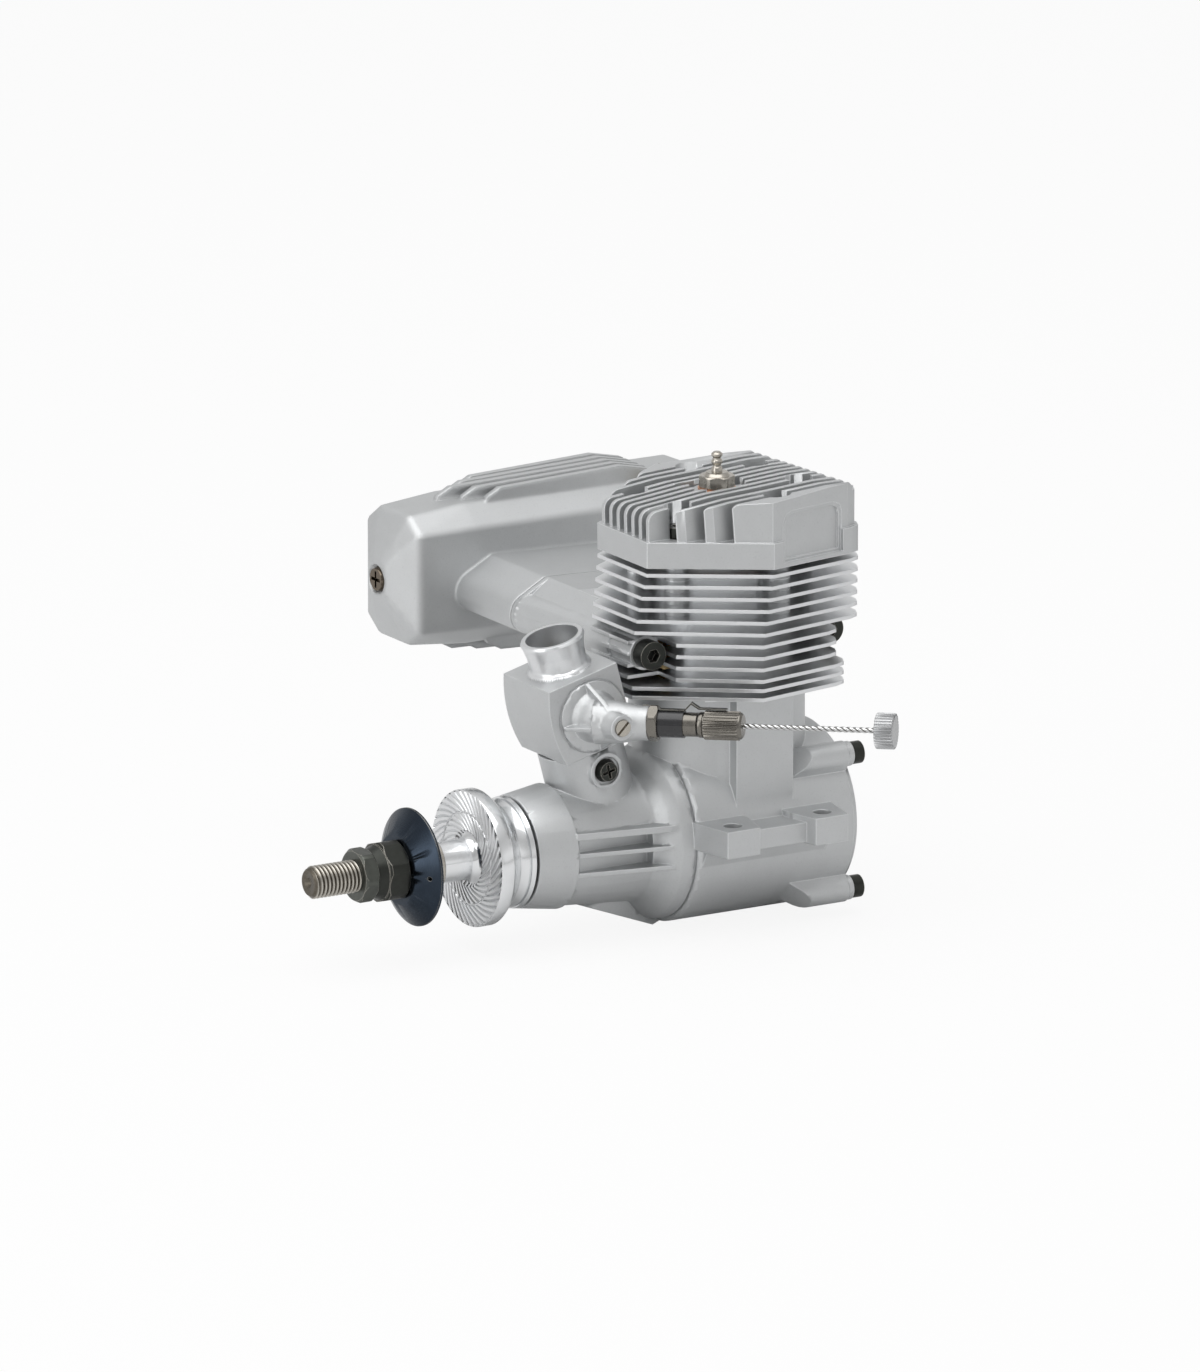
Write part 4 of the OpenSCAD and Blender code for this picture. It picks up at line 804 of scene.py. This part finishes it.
def floor_finish():
    """Pale floor: the camera sees it nearly white, with the object's faint shadow."""
    f = Finish("pale_floor")
    f.set((0.8, 0.8, 0.8, 1), 0.9, 0.0)
    path = f.tree.nodes.new("ShaderNodeLightPath")
    seen = Value(f.tree, path.outputs["Is Camera Ray"])
    glow = f.node("ShaderNodeEmission", None, {"Color": (1, 1, 1, 1), "Strength": 1.0})
    mix = f.node("ShaderNodeMixShader", None, {0: seen * FLOOR_WHITE})
    mixer = mix.socket.node
    f.tree.links.new(f.shader.outputs[0], mixer.inputs[1])
    f.tree.links.new(glow.socket, mixer.inputs[2])
    f.tree.links.new(mix.socket, f.tree.nodes["Material Output"].inputs["Surface"])
    return f.material


class EngineOperator(bpy.types.Operator):
    """Common to the engine's operators."""

    bl_options = {"REGISTER", "UNDO"}

    def execute(self, context):
        self.build(context.scene.engine)
        return {"FINISHED"}


class ENGINE_OT_stage(EngineOperator):
    """Sets the camera, the lamps, the backdrop and the floor"""

    bl_idname = "engine.stage"
    bl_label = "Stage"

    def build(self, engine):
        stage = engine.stage
        scene = bpy.context.scene
        scene.view_settings.view_transform = "Standard"
        azimuth, elevation = math.radians(stage.azimuth), math.radians(stage.elevation)
        back = Vector((
            math.sin(azimuth) * math.cos(elevation),
            -math.cos(azimuth) * math.cos(elevation),
            math.sin(elevation),
        ))
        camera = bpy.data.objects.new("camera", bpy.data.cameras.new("camera"))
        scene.collection.objects.link(camera)
        scene.camera = camera
        camera.data.sensor_width = SENSOR
        camera.data.lens = stage.focal_pixels / max(PHOTO_WIDTH, PHOTO_HEIGHT) * SENSOR
        camera.data.clip_end = 30
        camera.matrix_world = axes(Vector(stage.aim) + back * stage.distance, UP.cross(back), back)

        world = bpy.data.worlds.new("studio")
        scene.world = world
        backdrop(world, Vector((back.x, back.y, 0)).normalized())
        softbox("key_lamp", (0.1, -0.25, 1.1), (1.4, 1.1), stage.key_power)
        softbox("side_lamp", (0.1, -1.3, 0.45), (0.5, 1.1), stage.side_power)

        floor = bmesh.new()
        bmesh.ops.create_grid(floor, x_segments=1, y_segments=1, size=FLOOR_HALF)
        bmesh.ops.translate(floor, verts=floor.verts, vec=(0, 0, cad_low.z - FLOOR_DROP * MM))
        mesh = bpy.data.meshes.new("floor")
        floor.to_mesh(mesh)
        floor.free()
        mesh.materials.append(floor_finish())
        plane = bpy.data.objects.new("floor", mesh)
        scene.collection.objects.link(plane)


class ENGINE_OT_finishes(EngineOperator):
    """Makes the materials and gives every CAD node its own"""

    bl_idname = "engine.finishes"
    bl_label = "Finishes"

    def build(self, engine):
        make_finishes(engine.finish)
        for name, node in frame["nodes"].items():
            node.data.materials.clear()
            node.data.materials.append(FINISHES[slots[name]])


class ENGINE_OT_casting(EngineOperator):
    """Crankcase with its finned cylinder, and the backplate"""

    bl_idname = "engine.casting"
    bl_label = "Crankcase"

    def build(self, engine):
        fins_bottom = 34.0
        cut_height = 0.95
        column_r = 19.5
        duct_x = -28.5
        bolt_head_r = 3.5
        lug_r = 6.2
        low, high = (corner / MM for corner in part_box("muffler_bolts"))
        bolts = (low + high) / 2
        bolt_spread = (high.y - low.y) / 2 - bolt_head_r
        cast, cut, milled = range(3)

        def fin_finish(face):
            """Cut edges, and milled flats on the fins with a lighter finish painted for bounced light. The
            duct and its bolt lugs stay cast.
            """
            middle = face.calc_center_median() / MM
            across = abs(middle.y - bolts.y) - bolt_spread
            lug = math.hypot(across, middle.z - bolts.z) < lug_r and middle.x < 0
            if middle.z < fins_bottom or middle.x < duct_x or lug:
                return cast
            heights = [v.co.z / MM for v in face.verts]
            on_column = math.hypot(middle.x, middle.y) <= column_r
            upright = abs(face.normal.z) < 0.1
            if upright and not on_column and max(heights) - min(heights) < cut_height:
                return cut
            flat = abs(face.normal.z) > 0.95
            return milled if flat or on_column else cast

        dress("crankcase", ["cast_alloy", "machined_alloy", "milled_fins"], fin_finish, sharp=22, slices=3)
        dress("backplate", ["cast_alloy"])


class ENGINE_OT_head(EngineOperator):
    """Cylinder head with its screws and glow plug"""

    bl_idname = "engine.head"
    bl_label = "Head"

    def build(self, engine):
        dress("cylinder_head", ["soft_edge_alloy"])
        dress("head_screws", ["black_steel"])
        dress("glow_plug", ["nickel"])
        dress("plug_washer", ["copper"])


class ENGINE_OT_muffler(EngineOperator):
    """Muffler's two shells, bolts and fittings"""

    bl_idname = "engine.muffler"
    bl_label = "Muffler"

    def build(self, engine):
        dress("muffler_body", ["shell_alloy"], sharp=22, slices=3)
        dress("muffler_rear", ["shell_alloy"], sharp=22, slices=3)
        dress("muffler_bolts", ["black_steel"])
        dress("muffler_screw", ["dark_chrome"])
        dress("pressure_nipple", ["nickel"])


class ENGINE_OT_shaft(EngineOperator):
    """Crankshaft with a cut thread on its free end"""

    bl_idname = "engine.shaft"
    bl_label = "Crankshaft"

    def build(self, engine):
        sizes = engine.shaft
        nut_front = reach("lock_nut", SHAFT)[1]
        tip = reach("crankshaft", SHAFT)[1]
        shaft_end = mounts["shaft_end"]["dims"]["r_mm"]
        bm = copy_of("crankshaft")
        start = nut_front - 1
        trim(bm, SHAFT, start)
        screw = thread(shaft_end, sizes.thread_depth, sizes.pitch, start, tip, sizes.tip_chamfer)
        centre_drill(screw, shaft_end - sizes.tip_chamfer)
        screw.transform(to_metres(SHAFT))
        for face in screw.faces:
            face.material_index = 1
        join(bm, screw)
        to_object(bm, "crankshaft_skin", "crankshaft", ["steel", "thread_steel"])


def tooth(turns):
    """Depth of a V groove at a phase: 0 on the land, 1 at the root."""
    phase = turns % 1.0
    return max(0.0, 1 - abs(phase - 0.5) / 0.25)


class ENGINE_OT_hub(EngineOperator):
    """Drive hub with its two rings of serrations"""

    bl_idname = "engine.hub"
    bl_label = "Drive hub"

    def build(self, engine):
        sizes = engine.shaft
        low, high = reach("drive_hub", SHAFT)
        face = -mounts["hub_face"]["pos_m"][1] / MM
        sleeve = mounts["propeller_seat"]["dims"]["r_mm"]
        rim, nose, waist, bore = 16.58, 13.7, 12.7, 4.2
        groove, waist_start = 59.3, 61.6
        inner_drop = 0.05
        rim_ring = (rim - 0.4, 15.2, 13.8, 12.4, 11.45)
        inner_ring = (10.9, 9.6, 8.2, 6.9)
        outside = [
            (bore, low), (nose - 0.6, low), (nose - 0.1, low + 0.5),
            (nose - 0.3, groove), (nose - 0.9, groove + 0.1),
            (nose - 0.9, groove + 0.5), (nose - 0.5, groove + 0.6),
            (waist, waist_start), (waist + 0.1, waist_start + 0.5),
            (rim - 0.5, face - 4.1), (rim - 0.1, face - 3.6), (rim, face - 3.4),
            (rim, face - 0.45), (rim - 0.12, face - 0.12),
        ]
        rings = [
            *((r, face) for r in rim_ring), (11.3, face - 0.35), (11.05, face - 0.35),
            *((r, face - inner_drop) for r in inner_ring),
        ]
        seat = [
            (6.4, face - 0.5), (sleeve + 0.9, face - 0.1), (sleeve + 0.3, face + 0.5), (sleeve, face + 1.4),
            (sleeve, high - 0.3), (sleeve - 0.3, high), (bore, high),
        ]
        bm = turned(outside + rings + seat, sizes.rim_teeth * 8)
        slope = math.tan(math.radians(sizes.rim_slant))
        near = 0.02
        for v in bm.verts:
            radius = math.hypot(v.co.x, v.co.y)
            turn = math.atan2(v.co.y, v.co.x)
            if v.co.z > face - near and rim_ring[-1] - near < radius < rim_ring[0] + near:
                v.co.z -= sizes.tooth_depth * tooth(turn * sizes.rim_teeth / math.tau)
            elif (
                abs(v.co.z - face + inner_drop) < near
                and inner_ring[-1] - near < radius < inner_ring[0] + near
            ):
                v.co.z -= 0.7 * sizes.tooth_depth * tooth(turn * sizes.inner_teeth / math.tau)
            if v.co.z > face - 2:
                lean = slope * math.log(max(radius, inner_ring[-1]) / rim)
                v.co = Matrix.Rotation(lean, 3, "Z") @ v.co
        for surface in bm.faces:
            middle = surface.calc_center_median()
            if middle.z > face - 1 and inner_ring[-1] < math.hypot(middle.x, middle.y) < rim_ring[0]:
                surface.material_index = 1
        bm.transform(to_metres(SHAFT))
        to_object(bm, "drive_hub_skin", "drive_hub", ["turned_alloy", "machined_alloy"], sharp=28)


class ENGINE_OT_clamp(EngineOperator):
    """Ring, washer and nuts that clamp the propeller"""

    bl_idname = "engine.clamp"
    bl_label = "Propeller clamp"

    def build(self, engine):
        dress("pilot_ring", ["nickel"])
        dress("prop_washer", ["blued_steel"])
        dress("prop_nut", ["black_steel"], turn=17)
        dress("lock_nut", ["grey_steel"], turn=24.3)


class ENGINE_OT_carburettor(EngineOperator):
    """Carburettor body, its screws, rotor and lever"""

    bl_idname = "engine.carburettor"
    bl_label = "Carburettor"

    def build(self, engine):
        back = to_metres(CARB).inverted()
        stub_bottom = 10.4

        def cut_face(face):
            return 1 if (back @ face.calc_center_median()).z > stub_bottom else 0

        dress("carburettor_body", ["cast_alloy", "machined_alloy"], cut_face, sharp=26, slices=3)
        dress("carb_retainer_screw", ["black_steel"])
        dress("throttle_rotor", ["brass"])
        dress("throttle_lever", ["steel"])
        dress("lever_screw", ["black_steel"])
        dress("throttle_stop_screw", ["steel"])
        dress("mixture_screw", ["nickel"])


class ENGINE_OT_needle(EngineOperator):
    """Needle valve with its thimble, twisted wire and knob"""

    bl_idname = "engine.needle"
    bl_label = "Needle valve"

    def build(self, engine):
        sizes = engine.needle
        dress("needle_holder", ["dark_nickel"])
        dress("holder_nut", ["dark_nickel"])
        dress("holder_sleeve", ["black_plastic"])
        dress("ratchet_spring", ["black_steel"])
        dress("fuel_nipple", ["nickel"])

        stem, end = reach("needle_thimble", NEEDLE)
        start = reach("needle_holder", NEEDLE)[1] + 0.4
        needle_r, band_r, grip_r = 1.05, 3.1, 3.5
        bm = turned([
            (0, stem), (0.5, stem), (needle_r, stem + 3), (needle_r, start),
            (band_r - 0.1, start), (band_r, start + 0.2), (band_r, start + 1.0),
            (band_r - 0.3, start + 1.1), (band_r - 0.3, start + 1.5), (0, start + 1.5),
        ], 48)
        join(bm, fluted(grip_r, 0.3, sizes.thimble_flutes, start + 1.4, end - 0.9, 0.08))
        join(bm, turned([
            (0, end - 1.2), (grip_r - 0.25, end - 1.2), (grip_r - 0.3, end - 0.5), (grip_r - 0.8, end - 0.05),
            (1.2, end), (0, end),
        ], 48))
        bm.transform(to_metres(NEEDLE))
        to_object(bm, "needle_thimble_skin", "needle_thimble", ["dark_nickel"], 40)

        bottom, top = reach("needle_wire", NEEDLE)
        bm = bmesh.new()
        wire_r = 0.7
        swell = 1.08
        strand_r = wire_r / (1 + 1 / math.sin(math.pi / sizes.strands)) * swell
        for k in range(sizes.strands):
            turn = math.tau * k / sizes.strands
            join(bm, strand(strand_r, wire_r - strand_r, sizes.lay, bottom - 1, top + 1, turn))
        bm.transform(to_metres(NEEDLE))
        to_object(bm, "needle_wire_skin", "needle_wire", ["wire_steel"], 60)

        bottom, top = reach("needle_knob", NEEDLE)
        bm = fluted(girth("needle_knob", NEEDLE), 0.32, sizes.knob_flutes, bottom, top - 0.15, 0.2)
        bm.transform(to_metres(NEEDLE))
        to_object(bm, "needle_knob_skin", "needle_knob", ["grip_alloy"], 30)


class ENGINE_OT_screws(EngineOperator):
    """Backplate screws"""

    bl_idname = "engine.screws"
    bl_label = "Screws"

    def build(self, engine):
        dress("backplate_screws", ["black_steel"])


class EngineSettings(bpy.types.PropertyGroup):
    """All of the engine's settings."""

    finish: PointerProperty(type=FinishSettings)
    shaft: PointerProperty(type=ShaftSettings)
    needle: PointerProperty(type=NeedleSettings)
    stage: PointerProperty(type=StageSettings)


STEPS = (
    ENGINE_OT_stage,
    ENGINE_OT_finishes,
    ENGINE_OT_casting,
    ENGINE_OT_head,
    ENGINE_OT_muffler,
    ENGINE_OT_shaft,
    ENGINE_OT_hub,
    ENGINE_OT_clamp,
    ENGINE_OT_carburettor,
    ENGINE_OT_needle,
    ENGINE_OT_screws,
)


class ENGINE_PT_panel(bpy.types.Panel):
    """Lists the engine's operators"""

    bl_label = "Aircraft engine"
    bl_idname = "ENGINE_PT_panel"
    bl_space_type = "VIEW_3D"
    bl_region_type = "UI"
    bl_category = "Engine"

    def draw(self, context):
        for step in STEPS:
            self.layout.operator(step.bl_idname)
        engine = context.scene.engine
        for group in (engine.finish, engine.shaft, engine.needle, engine.stage):
            box = self.layout.box()
            for name in group.__annotations__:
                box.prop(group, name)


CLASSES = (
    FinishSettings, ShaftSettings, NeedleSettings, StageSettings, EngineSettings, *STEPS, ENGINE_PT_panel
)


def register():
    for cls in CLASSES:
        bpy.utils.register_class(cls)
    bpy.types.Scene.engine = PointerProperty(type=EngineSettings)


def unregister():
    del bpy.types.Scene.engine
    for cls in reversed(CLASSES):
        bpy.utils.unregister_class(cls)


def main():
    register()
    for step in STEPS:
        group, name = step.bl_idname.split(".")
        getattr(getattr(bpy.ops, group), name)()


if __name__ == "__main__":
    main()
